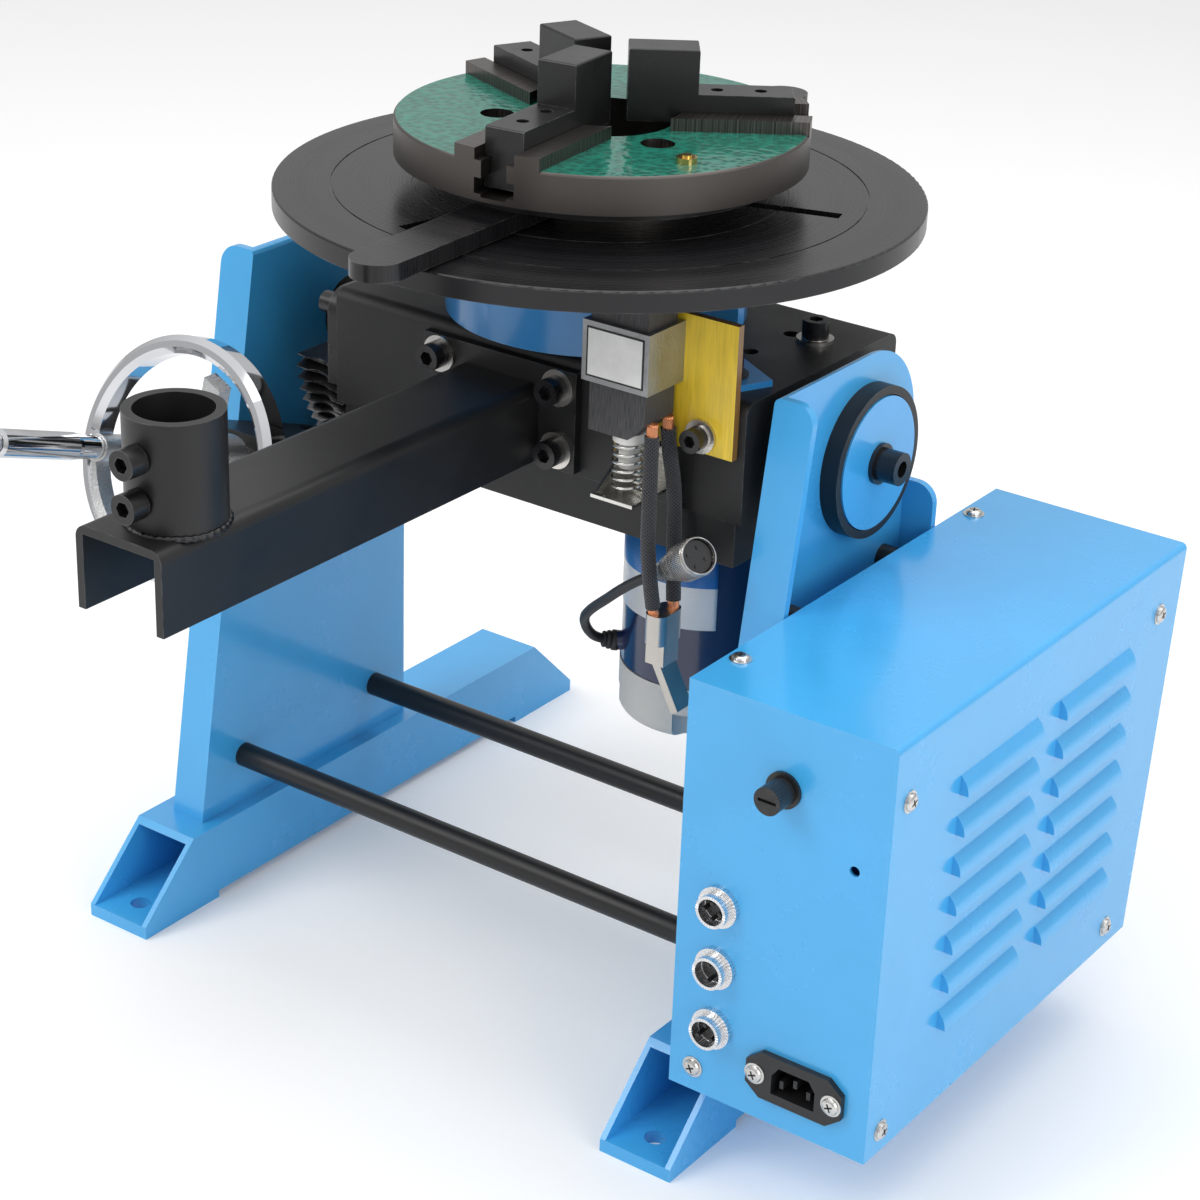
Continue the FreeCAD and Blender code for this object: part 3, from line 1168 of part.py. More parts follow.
def make_arm():
    """The folded channel, open below, that reaches out to the torch collar."""
    body = new_body("torch_arm")
    section = new_sketch(body, "arm_section", "XZ_Plane")
    half = S.arm_width / 2
    outline(section, [(-half, -S.arm_height), (half, -S.arm_height), (half, ZERO), (-half, ZERO)])
    padded(body, section, S.arm_length)
    rounded(body, S.arm_bend, lambda edge: near(edge, z=0) and runs_along(edge, Y_AXIS))
    hollow = new_sketch(body, "arm_hollow", "XZ_Plane", S.arm_length)
    inner = half - S.arm_wall
    outline(hollow, [(-inner, -S.arm_height), (inner, -S.arm_height), (inner, -S.arm_wall),
                     (-inner, -S.arm_wall)])
    pocketed(body, hollow, S.arm_length)
    place(body, arm_x, plate_front, S.arm_top)
    return node(body, "torch_arm")


def make_head_bolts():
    """Every socket bolt on the tilting head."""
    bolts = [*make_tilt_cap_bolts(), *make_arm_bolts(), make_insulator_bolt(), *make_cover_bolts()]
    return node(group("head_bolts_group", *bolts), "head_bolts")


def make_cover_bolts():
    """The bolts of the cover, the housing's foot and the sector's flange."""
    tab_x = S.spindle_place_x + S.housing_radius + S.web_reach + S.tab_reach / 2
    tab_y = S.spindle_place_y - S.web_place - S.tab_width * 0.7
    flange_y = head_front + S.sector_bolt_inset
    flange_x = S.sector_place + S.sector_width / 2 + S.sector_gap
    return [socket_bolt("cover_bolt", S.cover_bolt_x, S.cover_bolt_y, S.head_top, "z",
                        S.mount_bolt_head, S.mount_bolt_length, S.mount_bolt_radius, S.head_wall,
                        S.mount_washer_radius, S.mount_washer),
            socket_bolt("housing_bolt", tab_x, tab_y, S.head_top + S.tab_thickness, "z",
                        S.mount_bolt_head - 1, S.mount_bolt_length, S.small_bolt_radius,
                        S.tab_thickness, S.mount_washer_radius - 1, S.mount_washer),
            socket_bolt("flange_bolt", flange_x, flange_y, S.head_top - S.sector_bolt_drop, "-x",
                        S.mount_bolt_head - 1, S.mount_bolt_length - 1, S.small_bolt_radius,
                        S.sector_gap)]


def make_arm_bolts():
    bolts = [socket_bolt(f"arm_bolt_{index}", x, plate_front, z, "-y", S.mount_bolt_head,
                         S.mount_bolt_length, S.mount_bolt_radius, S.mount_thickness + S.head_wall,
                         S.mount_washer_radius, S.mount_washer)
             for index, (x, z) in enumerate(mount_bolt_places)]
    return bolts


collar_y = plate_front - S.arm_length + S.collar_setback


def make_collar():
    """The ring that holds the torch, tapped for its two clamp screws."""
    ring = cylinder("collar_ring", S.collar_radius, S.collar_height, S.spindle_place_x, collar_y,
                    S.arm_top)
    bore = cylinder("collar_bore_cut", S.collar_bore, S.collar_height + 2, S.spindle_place_x,
                    collar_y, S.arm_top - 1)
    holes = [cylinder(f"collar_tapping_{index}", S.clamp_screw_radius + S.bolt_clearance,
                      S.collar_radius + 2, S.spindle_place_x, collar_y, S.arm_top + height, "-y")
             for index, height in enumerate((S.clamp_bolt_low, S.clamp_bolt_high))]
    return node(without("collar_drilled", ring, bore, *holes), "torch_collar")


def make_clamp_screws():
    screws = [socket_bolt(f"clamp_screw_{index}", S.spindle_place_x,
                          collar_y - S.collar_radius - S.clamp_gap, S.arm_top + height, "-y",
                          S.clamp_bolt_head, S.clamp_bolt_length, S.clamp_screw_radius,
                          S.collar_radius - S.collar_bore + S.clamp_gap)
              for index, height in enumerate((S.clamp_bolt_low, S.clamp_bolt_high))]
    return node(group("clamp_screws_group", *screws), "clamp_screws")


# ---------------------------------------------------------------- earth brush

insulator_x = S.spindle_place_x + S.insulator_start
insulator_front = head_front - S.insulator_thickness
sleeve_x = S.spindle_place_x + S.sleeve_start
brush_x = sleeve_x + S.sleeve_wall + S.brush_clearance
brush_front = insulator_front - S.sleeve_depth + S.sleeve_wall + S.brush_clearance
brush_width = S.sleeve_width - (S.sleeve_wall + S.brush_clearance) * 2
brush_depth = S.sleeve_depth - (S.sleeve_wall + S.brush_clearance) * 2
brush_centre_x = brush_x + brush_width / 2
brush_centre_y = brush_front + brush_depth / 2
insulator_bolt_x = insulator_x + S.insulator_width - S.insulator_bolt_inset
insulator_bolt_z = S.insulator_bottom + S.insulator_bolt_rise


def make_insulator():
    """The insulating plate between the head and the earth brush."""
    blank = block("insulator_blank", S.insulator_width, S.insulator_thickness, S.insulator_height,
                  insulator_x, insulator_front, S.insulator_bottom)
    hole = cylinder("insulator_hole", S.mount_bolt_radius + S.bolt_clearance,
                    S.insulator_thickness + 2, insulator_bolt_x, head_front + 1,
                    insulator_bolt_z, "-y")
    return node(without("insulator_drilled", blank, hole), "insulating_plate")


def make_insulator_bolt():
    bolt = socket_bolt("insulator", insulator_bolt_x, insulator_front, insulator_bolt_z, "-y",
                       S.mount_bolt_head - 1, S.mount_bolt_length - 1, S.mount_bolt_radius,
                       S.insulator_thickness + S.head_wall, S.mount_washer_radius - 1,
                       S.mount_washer)
    return bolt


def make_sleeve():
    """The open rectangular sleeve that guides the brush."""
    outer = block("sleeve_outer", S.sleeve_width, S.sleeve_depth, S.sleeve_height, sleeve_x,
                  insulator_front - S.sleeve_depth, S.sleeve_bottom)
    inner = block("sleeve_inner", S.sleeve_width - S.sleeve_wall * 2,
                  S.sleeve_depth - S.sleeve_wall * 2, S.sleeve_height + 2, sleeve_x + S.sleeve_wall,
                  insulator_front - S.sleeve_depth + S.sleeve_wall, S.sleeve_bottom - 1)
    return node(without("sleeve_tube", outer, inner), "brush_sleeve")


spring_top = S.brush_bottom - S.bush_pin_collar


def make_carbon_brush():
    """The graphite block with a chamfer where its leads come out and its insulating pin."""
    body = new_body("carbon_brush")
    face = new_sketch(body, "brush_face", "XZ_Plane", ZERO)
    top = table_bottom - S.table_gap
    outline(face, [(ZERO, S.brush_bottom), (brush_width - S.brush_chamfer, S.brush_bottom),
                   (brush_width, S.brush_bottom + S.brush_chamfer), (brush_width, top), (ZERO, top)])
    padded(body, face, brush_depth)
    place(body, brush_x, brush_front + brush_depth)
    return node(body, "carbon_brush")


def make_brush_pin():
    """The insulating guide pin below the brush, inside its spring."""
    collar = cylinder("brush_pin_collar", S.bush_pin_radius + 1, S.brush_bottom - spring_top,
                      brush_centre_x, brush_centre_y, spring_top)
    pin = cylinder("brush_pin_stem", S.spring_radius - S.spring_wire * 2, S.bush_pin_length,
                   brush_centre_x, brush_centre_y, spring_top - S.bush_pin_length + 1)
    return node(fused("brush_pin_turned", collar, pin), "brush_pin")



def make_brush_spring():
    """The open coil spring between the seat and the brush pin."""
    wire = float(S.spring_wire) / 2
    radius = float(S.spring_radius) - wire
    height = float(spring_top - S.seat_top - S.spring_wire - 2 * S.spring_gap)
    path = Part.makeHelix(height / float(S.spring_turns), height, radius, 0)
    section = Part.Wire(Part.makeCircle(wire, Vector(radius, 0, 0), Y_AXIS))
    coil = Part.Wire(path).makePipeShell([section], True, True)
    made = formed("brush_spring_coil", coil, brush_centre_x, brush_centre_y,
                  S.seat_top + S.spring_wire / 2 + S.spring_gap)
    return node(made, "brush_spring")


def make_spring_seat():
    """The bent sheet that carries the spring, with one gusset."""
    sheet, low = S.seat_sheet, S.seat_top - S.seat_sheet
    left = brush_centre_x - S.seat_width / 2
    floor = block("seat_floor", S.seat_width, S.seat_depth, sheet, left, head_front - S.seat_depth,
                  low)
    back = block("seat_back_sheet", S.seat_width, sheet, S.seat_back, left, head_front - sheet, low)
    body = new_body("seat_gusset")
    web = new_sketch(body, "gusset_web", "YZ_Plane")
    outline(web, [(-S.seat_depth, ZERO), (ZERO, ZERO), (ZERO, S.seat_back)])
    padded(body, web, sheet)
    place(body, left, head_front, low)
    return node(fused("spring_seat_folded", floor, back, body), "spring_seat")


# ---------------------------------------------------------------- cords

LEAD_RADIUS = 3.5
CABLE_RADIUS = 2.5
FRONT_LEAD = [(112.4, -117.6, 343), (112.6, -118.4, 326), (113.6, -119.6, 301), (113.2, -119, 272),
              (115.4, -114.6, 243)]
REAR_LEAD = [(111.6, -105.4, 343), (112, -104.4, 326), (113.6, -99.6, 301), (114.2, -99, 272),
             (118.4, -103.2, 243)]
MOTOR_CABLE = [(53.1, -56.5, 189), (46.9, -61.4, 190.6), (43.4, -69.4, 198.4), (49, -79, 209),
               (60.5, -86.5, 219.5), (74, -94, 231), (88, -101, 243.5), (102.2, -105.6, 254.4),
               (116.2, -108.6, 263.6)]


def cord_path(points):
    """Straight runs joined by tangent arcs as large as the runs allow, and the arcs' radii."""
    nodes = [Vector(*point) for point in points]
    edges, radii = [], []
    start = nodes[0]
    for before, corner, after in zip(nodes, nodes[1:], nodes[2:]):
        inward, outward = corner - before, after - corner
        turn = inward.getAngle(outward)
        cut = 0.45 * min(inward.Length, outward.Length)
        radii.append(cut / math.tan(turn / 2))
        enter = corner - inward.normalize() * cut
        leave = corner + outward.normalize() * cut
        edges.append(Part.LineSegment(start, enter).toShape())
        toward = ((enter + leave) / 2 - corner).normalize()
        sagitta = radii[-1] / math.cos(turn / 2) - radii[-1]
        edges.append(Part.Arc(enter, corner + toward * sagitta, leave).toShape())
        start = leave
    edges.append(Part.LineSegment(start, nodes[-1]).toShape())
    return Part.Wire(edges), radii


def make_cord(label, points, radius):
    """A round cord swept along its route."""
    path, radii = cord_path(points)
    heading = Vector(*points[1]) - Vector(*points[0])
    section = Part.Wire(Part.makeCircle(radius, Vector(*points[0]), heading))
    tube = path.makePipeShell([section], True, True)
    expected = math.pi * radius ** 2 * path.Length
    print(f"{label}: arc radii {[round(value, 1) for value in radii]},",
          f"volume over section times length {tube.Volume / expected:.4f}")
    return node(formed(f"{label}_tube", tube), label)


def make_lead_lug():
    """The crimped cable lug at the leads' lower ends."""
    barrel = Part.makeBox(11, 19, 15, Vector(111.4, -118.4, 229))
    barrel = barrel.makeFillet(4.5, [edge for edge in barrel.Edges if runs_along(edge, Z_AXIS)])
    neck = Part.makeBox(10, 12, 12, Vector(112, -115, 218))
    tongue = Part.makeBox(4, 12, 27, Vector(0, 0, -27))
    tongue.rotate(Vector(), Y_AXIS, -28)
    tongue.translate(Vector(115, -115, 220))
    shape = barrel.fuse([neck, tongue]).removeSplitter()
    return node(formed("lead_lug_formed", shape), "lead_lug")


PLUG_BACK, PLUG_FACE = Vector(116.2, -108.6, 263.6), Vector(142.2, -120.4, 282.6)
PLUG_SECTION = [(0, 0), (5.4, 0), (5.4, 13), (9.4, 15.5), (9.4, 33), (8, 33), (8, 27), (0, 27)]


def along_plug(shape):
    """Lay a piece made along +Z on the plug's own line."""
    heading = PLUG_FACE - PLUG_BACK
    shape.Placement = Placement(PLUG_BACK, Rotation(Z_AXIS, heading))
    return shape


def make_motor_plug():
    """The metal cable plug, open at its face."""
    points = [Vector(radius, 0, height) for radius, height in PLUG_SECTION]
    shell = Part.Face(Part.makePolygon(points + points[:1])).revolve(Vector(), Z_AXIS, 360)
    return node(formed_at("motor_plug_turned", along_plug(shell)), "motor_plug")


def formed_at(name, shape):
    """A piece whose shape already stands in its place."""
    made = doc.addObject("Part::Feature", name)
    made.Shape = shape
    return made


def make_plug_insert():
    """The plug's moulded insert with its four pins."""
    insert = Part.makeCylinder(7.6, 4.6, Vector(0, 0, 27.2))
    pins = [Part.makeCylinder(0.9, 2.4, Vector(4.4 * math.cos(turn), 4.4 * math.sin(turn), 30))
            for turn in (math.radians(45 + 90 * index) for index in range(4))]
    return node(formed_at("plug_insert_moulded", along_plug(insert.fuse(pins))), "plug_insert")


# ---------------------------------------------------------------- control box

box_top = S.box_bottom + S.box_height
box_right = S.box_left + S.box_width
REAR_TURN = Rotation(X_AXIS, -90 - math.degrees(math.atan2(SIZES["box_rear_slant"],
                                                           SIZES["box_height"])))
front_holes = [(S.socket_place, S.socket_low + S.socket_pitch * row,
                S.socket_radius) for row in range(3)]
front_holes += [(S.fuse_place, S.fuse_height, S.fuse_hole), (S.vent_place, S.vent_height, S.vent_radius)]
side_screws = [(S.screw_inset, S.screw_inset), (S.screw_inset, S.box_height - S.screw_inset * 2.4),
               (S.box_depth - S.box_rear_slant - S.screw_inset * 2, S.screw_inset),
               (S.box_depth - S.screw_inset * 2, S.box_height - S.screw_inset * 2.4)]
top_screws = [S.screw_inset * 2.4, S.box_depth - S.screw_inset * 3]


def rear_line(height, inset):
    """How far back the slanted rear panel lies at a height above the box's floor."""
    return S.box_depth - S.box_rear_slant + S.box_rear_slant * height / S.box_height - inset


def box_outline(sketch, bottom, top, inset):
    outline(sketch, [(inset, bottom), (rear_line(bottom, inset), bottom),
                     (rear_line(top, inset), top), (inset, top)])


def make_box_base():
    """The box's floor, left wall, front panel and rear panel, with lips for the cover."""
    sheet = S.box_sheet
    body = new_body("box_base")
    outer = new_sketch(body, "base_outer", "YZ_Plane")
    box_outline(outer, ZERO, S.box_height - sheet, ZERO)
    padded(body, outer, S.box_width - sheet)
    inner = new_sketch(body, "base_inner", "YZ_Plane", sheet)
    box_outline(inner, sheet, S.box_height, sheet)
    pocketed(body, inner, S.box_width, reverse=True)
    for name, start in (("front", sheet), ("rear", rear_line(ZERO, S.lip_width))):
        lip = new_sketch(body, f"{name}_lip", "YZ_Plane", S.box_width - sheet * 2)
        low, high = sheet, S.box_height - sheet
        shift = ZERO if name == "front" else rear_line(high, ZERO) - rear_line(ZERO, ZERO)
        outline(lip, [(start, low), (start + S.lip_width - sheet / 2, low),
                      (start + shift + S.lip_width - sheet / 2, high), (start + shift, high)])
        padded(body, lip, sheet)
    top_lip = new_sketch(body, "top_lip", "XY_Plane", S.box_height - sheet * 2)
    outline(top_lip, [(sheet, sheet), (S.lip_width, sheet), (S.lip_width, S.box_depth - sheet * 3),
                      (sheet, S.box_depth - sheet * 3)])
    padded(body, top_lip, sheet)
    drilled = new_sketch(body, "front_holes", "XZ_Plane", ZERO)
    for x, z, radius in front_holes:
        circle(drilled, x, z, radius)
    half, drop = S.inlet_screw_pitch / 2, S.inlet_flange_height / 2 - S.inlet_flange
    outline(drilled, [(S.inlet_place - half * 0.66, S.inlet_height - drop),
                      (S.inlet_place + half * 0.66, S.inlet_height - drop),
                      (S.inlet_place + half * 0.66, S.inlet_height + drop),
                      (S.inlet_place - half * 0.66, S.inlet_height + drop)])
    pocketed(body, drilled, sheet * 2)
    place(body, S.box_left, S.box_front, S.box_bottom)
    cuts = [on_rear(cylinder("knob_hole", S.knob_shaft + S.bolt_clearance * 5, sheet * 6),
                    S.control_column, knob_row, -sheet * 3)]
    for name, row in (("power", S.power_row), ("direction", direction_row)):
        wide, tall = S.switch_width + S.switch_gap * 2, S.switch_height + S.switch_gap * 2
        window = block(f"{name}_window", wide + sheet * 2, tall + sheet * 2, sheet * 6,
                       -wide / 2 - sheet,
                       -tall / 2 - sheet)
        cuts.append(on_rear(group(f"{name}_window_held", window), S.control_column, row, -sheet * 3))
    return node(without("box_base_cut", body, *cuts), "box_base")


def on_rear(thing, across, height, lift=ZERO):
    """Stand a piece made along +Z on the slanted rear panel's outer face."""
    thing.Placement = Placement(Vector(), REAR_TURN)
    outward = REAR_TURN.multVec(Z_AXIS)
    y = S.box_front + rear_line(height, ZERO) + lift * outward.y
    return place(thing, S.box_left + across, y, S.box_bottom + height + lift * outward.z)


def make_box_cover():
    """The folded top and right side, with two columns of louvres."""
    sheet = S.box_sheet
    body = new_body("box_cover")
    outer = new_sketch(body, "cover_outer", "YZ_Plane")
    box_outline(outer, ZERO, S.box_height, ZERO)
    padded(body, outer, S.box_width)
    rounded(body, sheet * 2, lambda edge: near(edge, x=S.box_width, z=S.box_height))
    inner = new_sketch(body, "cover_inner", "YZ_Plane")
    low, high = -sheet, S.box_height - sheet
    outline(inner, [(-sheet, low), (S.box_depth + sheet, low), (S.box_depth + sheet, high), (-sheet,
                                                                                             high)])
    pocketed(body, inner, S.box_width - sheet, reverse=True)
    holes = new_sketch(body, "side_screw_holes", "YZ_Plane", S.box_width - sheet * 2)
    for y, z in side_screws:
        circle(holes, y, z, S.screw_radius + S.bolt_clearance)
    pocketed(body, holes, sheet * 3, reverse=True)
    tops = new_sketch(body, "top_screw_holes", "XY_Plane", S.box_height - sheet * 2)
    for y in top_screws:
        circle(tops, S.lip_width * 0.6, y, S.screw_radius + S.bolt_clearance)
    pocketed(body, tops, sheet * 3, reverse=True)
    place(body, S.box_left, S.box_front, S.box_bottom)
    hoods, hollows = [], []
    inner_length = S.louvre_length - S.louvre_sheet * 2
    for column, start in (("front", S.louvre_first), ("rear", S.louvre_second)):
        for row in range(SIZES["louvre_count"]):
            name = f"{column}_louvre_{row}"
            y = S.box_front + start
            z = S.box_bottom + S.louvre_low + S.louvre_pitch * row
            centre = box_right + S.louvre_rise - S.louvre_height
            arch = cylinder(f"{name}_arch", S.louvre_height, S.louvre_length, centre, y, z, "y")
            limit = block(f"{name}_limit", S.louvre_rise * 2, S.louvre_length, S.louvre_height,
                          box_right - sheet / 2, y, z)
            hoods.append(common(f"{name}_hood", arch, limit))
            hollow = cylinder(f"{name}_hollow", S.louvre_height - S.louvre_sheet, inner_length,
                              centre, y + S.louvre_sheet, z, "y")
            mouth = block(f"{name}_mouth", S.louvre_rise * 2, inner_length, S.louvre_height,
                          box_right - sheet * 2, y + S.louvre_sheet, z - S.louvre_sheet / 4)
            hollows.append(common(f"{name}_opening", hollow, mouth))
    made = without("box_cover_pierced", fused("box_cover_hooded", body, *hoods), *hollows)
    return node(made, "box_cover")


def make_box_screws():
    """The button-head screws of the cover and of the power inlet."""
    screws = []
    for index, (y, z) in enumerate(side_screws):
        screws.append(box_screw(f"side_screw_{index}", box_right, S.box_front + y, S.box_bottom + z,
                                "x"))
    for index, y in enumerate(top_screws):
        screws.append(box_screw(f"top_screw_{index}", S.box_left + S.lip_width * 0.6,
                                S.box_front + y, box_top, "z"))
    for side in (-1, 1):
        screws.append(box_screw(f"inlet_screw_{side}",
                                S.box_left + S.inlet_place + S.inlet_screw_pitch / 2 * side,
                                S.box_front - S.inlet_flange, S.box_bottom + S.inlet_height, "-y"))
    return screws


def box_screw(name, x, y, z, along):
    return socket_bolt(name, x, y, z, along, S.screw_head_radius, S.screw_head, S.screw_radius,
                       S.box_sheet)


def make_panel_sockets():
    """The three round sockets for the foot pedal, the motor and the welder."""
    sockets = [make_socket(f"socket_{row}", row, pins) for row, pins in enumerate((3, 2, 4))]
    return node(group("panel_sockets_group", *sockets), "panel_sockets")


def make_socket(label, row, pins):
    """A round panel socket with its ring, moulded insert and pins."""
    x, z = S.box_left + S.socket_place, S.box_bottom + S.socket_low + S.socket_pitch * row
    y = S.box_front
    ring = cylinder(f"{label}_ring", S.socket_flange, S.socket_reach / 3, x, y, z, "-y")
    barrel = cylinder(f"{label}_barrel", S.socket_radius - S.socket_wall_gap, S.socket_reach, x, y,
                      z, "-y")
    tail = cylinder(f"{label}_tail", S.socket_radius - S.socket_wall_gap, S.socket_reach * 1.6, x,
                    y, z, "y")
    bore = cylinder(f"{label}_bore", S.socket_bore, S.socket_reach * 0.7, x, y - S.socket_reach, z, "y")
    shell = without(f"{label}_shell", fused(f"{label}_blank", ring, barrel, tail), bore)
    rods = []
    for index in range(pins):
        turn = math.radians(90 + 360 * index / pins)
        rods.append(cylinder(f"{label}_pin_{index}", S.blade_radius, S.socket_reach * 0.6,
                             x + S.socket_bore * 0.66 * math.cos(turn), y - S.socket_reach * 0.9,
                             z + S.socket_bore * 0.66 * math.sin(turn), "y"))
    return fused(f"{label}_built", shell, *rods)


def make_fuse_holder():
    x, z = S.box_left + S.fuse_place, S.box_bottom + S.fuse_height
    flange = cylinder("fuse_flange_ring", S.fuse_flange, S.switch_pivot, x, S.box_front, z, "-y")
    tail = cylinder("fuse_tail", S.fuse_hole - S.bolt_clearance, S.fuse_cap_length * 2, x,
                    S.box_front, z, "y")
    bore = cylinder("fuse_bore", S.fuse_hole / 2, S.fuse_cap_length * 1.5, x,
                    S.box_front - S.switch_pivot - 1, z, "y")
    return node(without("fuse_holder_bored", fused("fuse_holder_blank", flange, tail), bore),
                "fuse_holder")


def make_fuse_cap():
    """The ribbed bayonet cap, with its carrier reaching into the holder."""
    x, z = S.box_left + S.fuse_place, S.box_bottom + S.fuse_height
    start = S.box_front - S.switch_pivot - S.table_gap
    cap = cylinder("fuse_cap_turned", S.fuse_cap_radius, S.fuse_cap_length, x, start, z, "-y")
    carrier = cylinder("fuse_carrier", S.fuse_hole / 2 - S.running_clearance, S.fuse_cap_length, x,
                       start, z, "y")
    slot = block("fuse_cap_slot", S.fuse_cap_radius * 1.4, S.switch_pivot, S.switch_pivot,
                 x - S.fuse_cap_radius * 0.7, start - S.fuse_cap_length, z - S.switch_pivot / 2)
    return node(without("fuse_cap_slotted", fused("fuse_cap_blank", cap, carrier), slot), "fuse_cap")


def make_inlet():
    """The mains inlet: a screwed flange, a recess and three blades."""
    body = new_body("power_inlet")
    half_wide, half_tall = S.inlet_width / 2, S.inlet_flange_height / 2
    flange = new_sketch(body, "inlet_flange_face", "XZ_Plane")
    outline(flange, [(-half_wide, -half_tall * 0.5), (-half_wide * 0.7, -half_tall),
                     (half_wide * 0.7, -half_tall), (half_wide, -half_tall * 0.5),
                     (half_wide, half_tall * 0.5), (half_wide * 0.7, half_tall),
                     (-half_wide * 0.7, half_tall), (-half_wide, half_tall * 0.5)])
    padded(body, flange, S.inlet_flange)
    shell = new_sketch(body, "inlet_shell", "XZ_Plane")
    wide, tall = S.inlet_screw_pitch * 0.32, half_tall - S.inlet_flange * 1.1
    outline(shell, [(-wide, -tall), (wide, -tall), (wide, tall), (-wide, tall)])
    padded(body, shell, S.inlet_flange_height, reverse=True)
    mouth = new_sketch(body, "inlet_mouth", "XZ_Plane", S.inlet_flange)
    inner, low = wide - S.inlet_flange / 2, tall - S.inlet_flange / 2
    outline(mouth, [(-inner, -low), (inner, -low), (inner, low / 3), (inner * 0.7, low),
                    (-inner * 0.7, low), (-inner, low / 3)])
    pocketed(body, mouth, S.inlet_flange_height * 0.8)
    holes = new_sketch(body, "inlet_screw_holes", "XZ_Plane", S.inlet_flange)
    for side in (-1, 1):
        circle(holes, S.inlet_screw_pitch / 2 * side, ZERO, S.screw_radius + S.bolt_clearance)
    pocketed(body, holes, S.inlet_flange)
    place(body, S.box_left + S.inlet_place, S.box_front, S.box_bottom + S.inlet_height)
    blades = [block(f"inlet_blade_{across}", S.blade_radius * 2, S.inlet_flange_height * 0.7,
                    S.blade_radius * 4,
                    S.box_left + S.inlet_place + S.blade_radius * (7 * across - 1),
                    S.box_front - S.blade_radius,
                    S.box_bottom + S.inlet_height - S.blade_radius * (4 - 3 * (across == 0)))
              for across in (-1, 0, 1)]
    return node(fused("power_inlet_bladed", body, *blades), "power_inlet")


def make_speed_knob():
    """The speed knob with its skirt and pointer groove, bored for the control's shaft."""
    body = new_body("speed_knob")
    turned = new_sketch(body, "knob_turned", "XZ_Plane")
    bore, r, length, gap = S.knob_shaft + S.running_clearance, S.knob_radius, S.knob_length, S.table_gap
    outline(turned, [(bore, gap), (r, gap), (r, length / 4), (r * 0.8, length / 3),
                     (r * 0.75, length), (ZERO, length), (ZERO, length * 0.75), (bore, length * 0.75)])
    revolved(body, turned)
    groove = new_sketch(body, "knob_pointer", "XY_Plane", length)
    outline(groove, [(-S.blade_radius / 2, r * 0.2), (S.blade_radius / 2, r * 0.2),
                     (S.blade_radius / 2, r), (-S.blade_radius / 2, r)])
    pocketed(body, groove, S.blade_radius)
    return node(on_rear(group("speed_knob_held", body), S.control_column, knob_row), "speed_knob")


def make_switch_frames():
    """The two rocker switches' frames with their closed backs."""
    frames = []
    for name, row in (("power", S.power_row), ("direction", direction_row)):
        edge = S.switch_frame
        wide, tall = S.switch_width + S.switch_gap * 2, S.switch_height + S.switch_gap * 2
        bezel = block(f"{name}_bezel", wide + edge * 2, tall + edge * 2, edge,
                      -wide / 2 - edge, -tall / 2 - edge)
        well = block(f"{name}_well", wide + S.box_sheet * 1.8, tall + S.box_sheet * 1.8, S.switch_depth,
                     -wide / 2 - S.box_sheet * 0.9, -tall / 2 - S.box_sheet * 0.9, -S.switch_depth)
        hollow = block(f"{name}_hollow", wide, tall, S.switch_depth + edge, -wide / 2, -tall / 2,
                       -S.switch_depth + edge)
        pivot = cylinder(f"{name}_pivot", S.switch_pivot, wide, -wide / 2, ZERO, ZERO, "x")
        cut = without(f"{name}_frame", fused(f"{name}_frame_blank", bezel, well), hollow)
        frames.append(on_rear(fused(f"{name}_frame_pinned", cut, pivot), S.control_column, row))
    return node(group("switch_frames_group", *frames), "switch_frames")


def make_rocker(label, row, tilt):
    """A rocker on its pivot pin, its face dished to a shallow V."""
    body = new_body(label)
    side = new_sketch(body, f"{label}_side", "YZ_Plane", -S.switch_width / 2)
    half = S.switch_height / 2
    top, low = S.switch_frame + S.switch_pivot, -S.switch_pivot * 2
    outline(side, [(-half, low), (half, low), (half, top + S.switch_pivot), (ZERO, top),
                   (-half, top + S.switch_pivot)])
    padded(body, side, S.switch_width)
    bore = new_sketch(body, f"{label}_bore", "YZ_Plane", -S.switch_width)
    circle(bore, ZERO, ZERO, S.switch_pivot + S.running_clearance)
    pocketed(body, bore, S.switch_width * 2, reverse=True)
    body.Placement = Placement(Vector(), Rotation(X_AXIS, tilt))
    return node(on_rear(group(f"{label}_held", body), S.control_column, row), label)


def make_electronics():
    """The speed control and the drive board, both inside the box."""
    return node(group("electronics_group", make_speed_control(), make_board()), "control_electronics")


def make_speed_control():
    """The speed control behind the rear panel, with its bushing and shaft."""
    case = cylinder("control_case", S.knob_radius * 0.8, S.knob_length * 0.6)
    place(case, 0, 0, -S.box_sheet - S.knob_length * 0.6)
    shaft = cylinder("control_shaft", S.knob_shaft, S.knob_length * 0.7 + S.box_sheet * 3)
    place(shaft, 0, 0, -S.box_sheet * 3)
    made = fused("speed_control_built", case, shaft)
    return on_rear(made, S.control_column, knob_row)


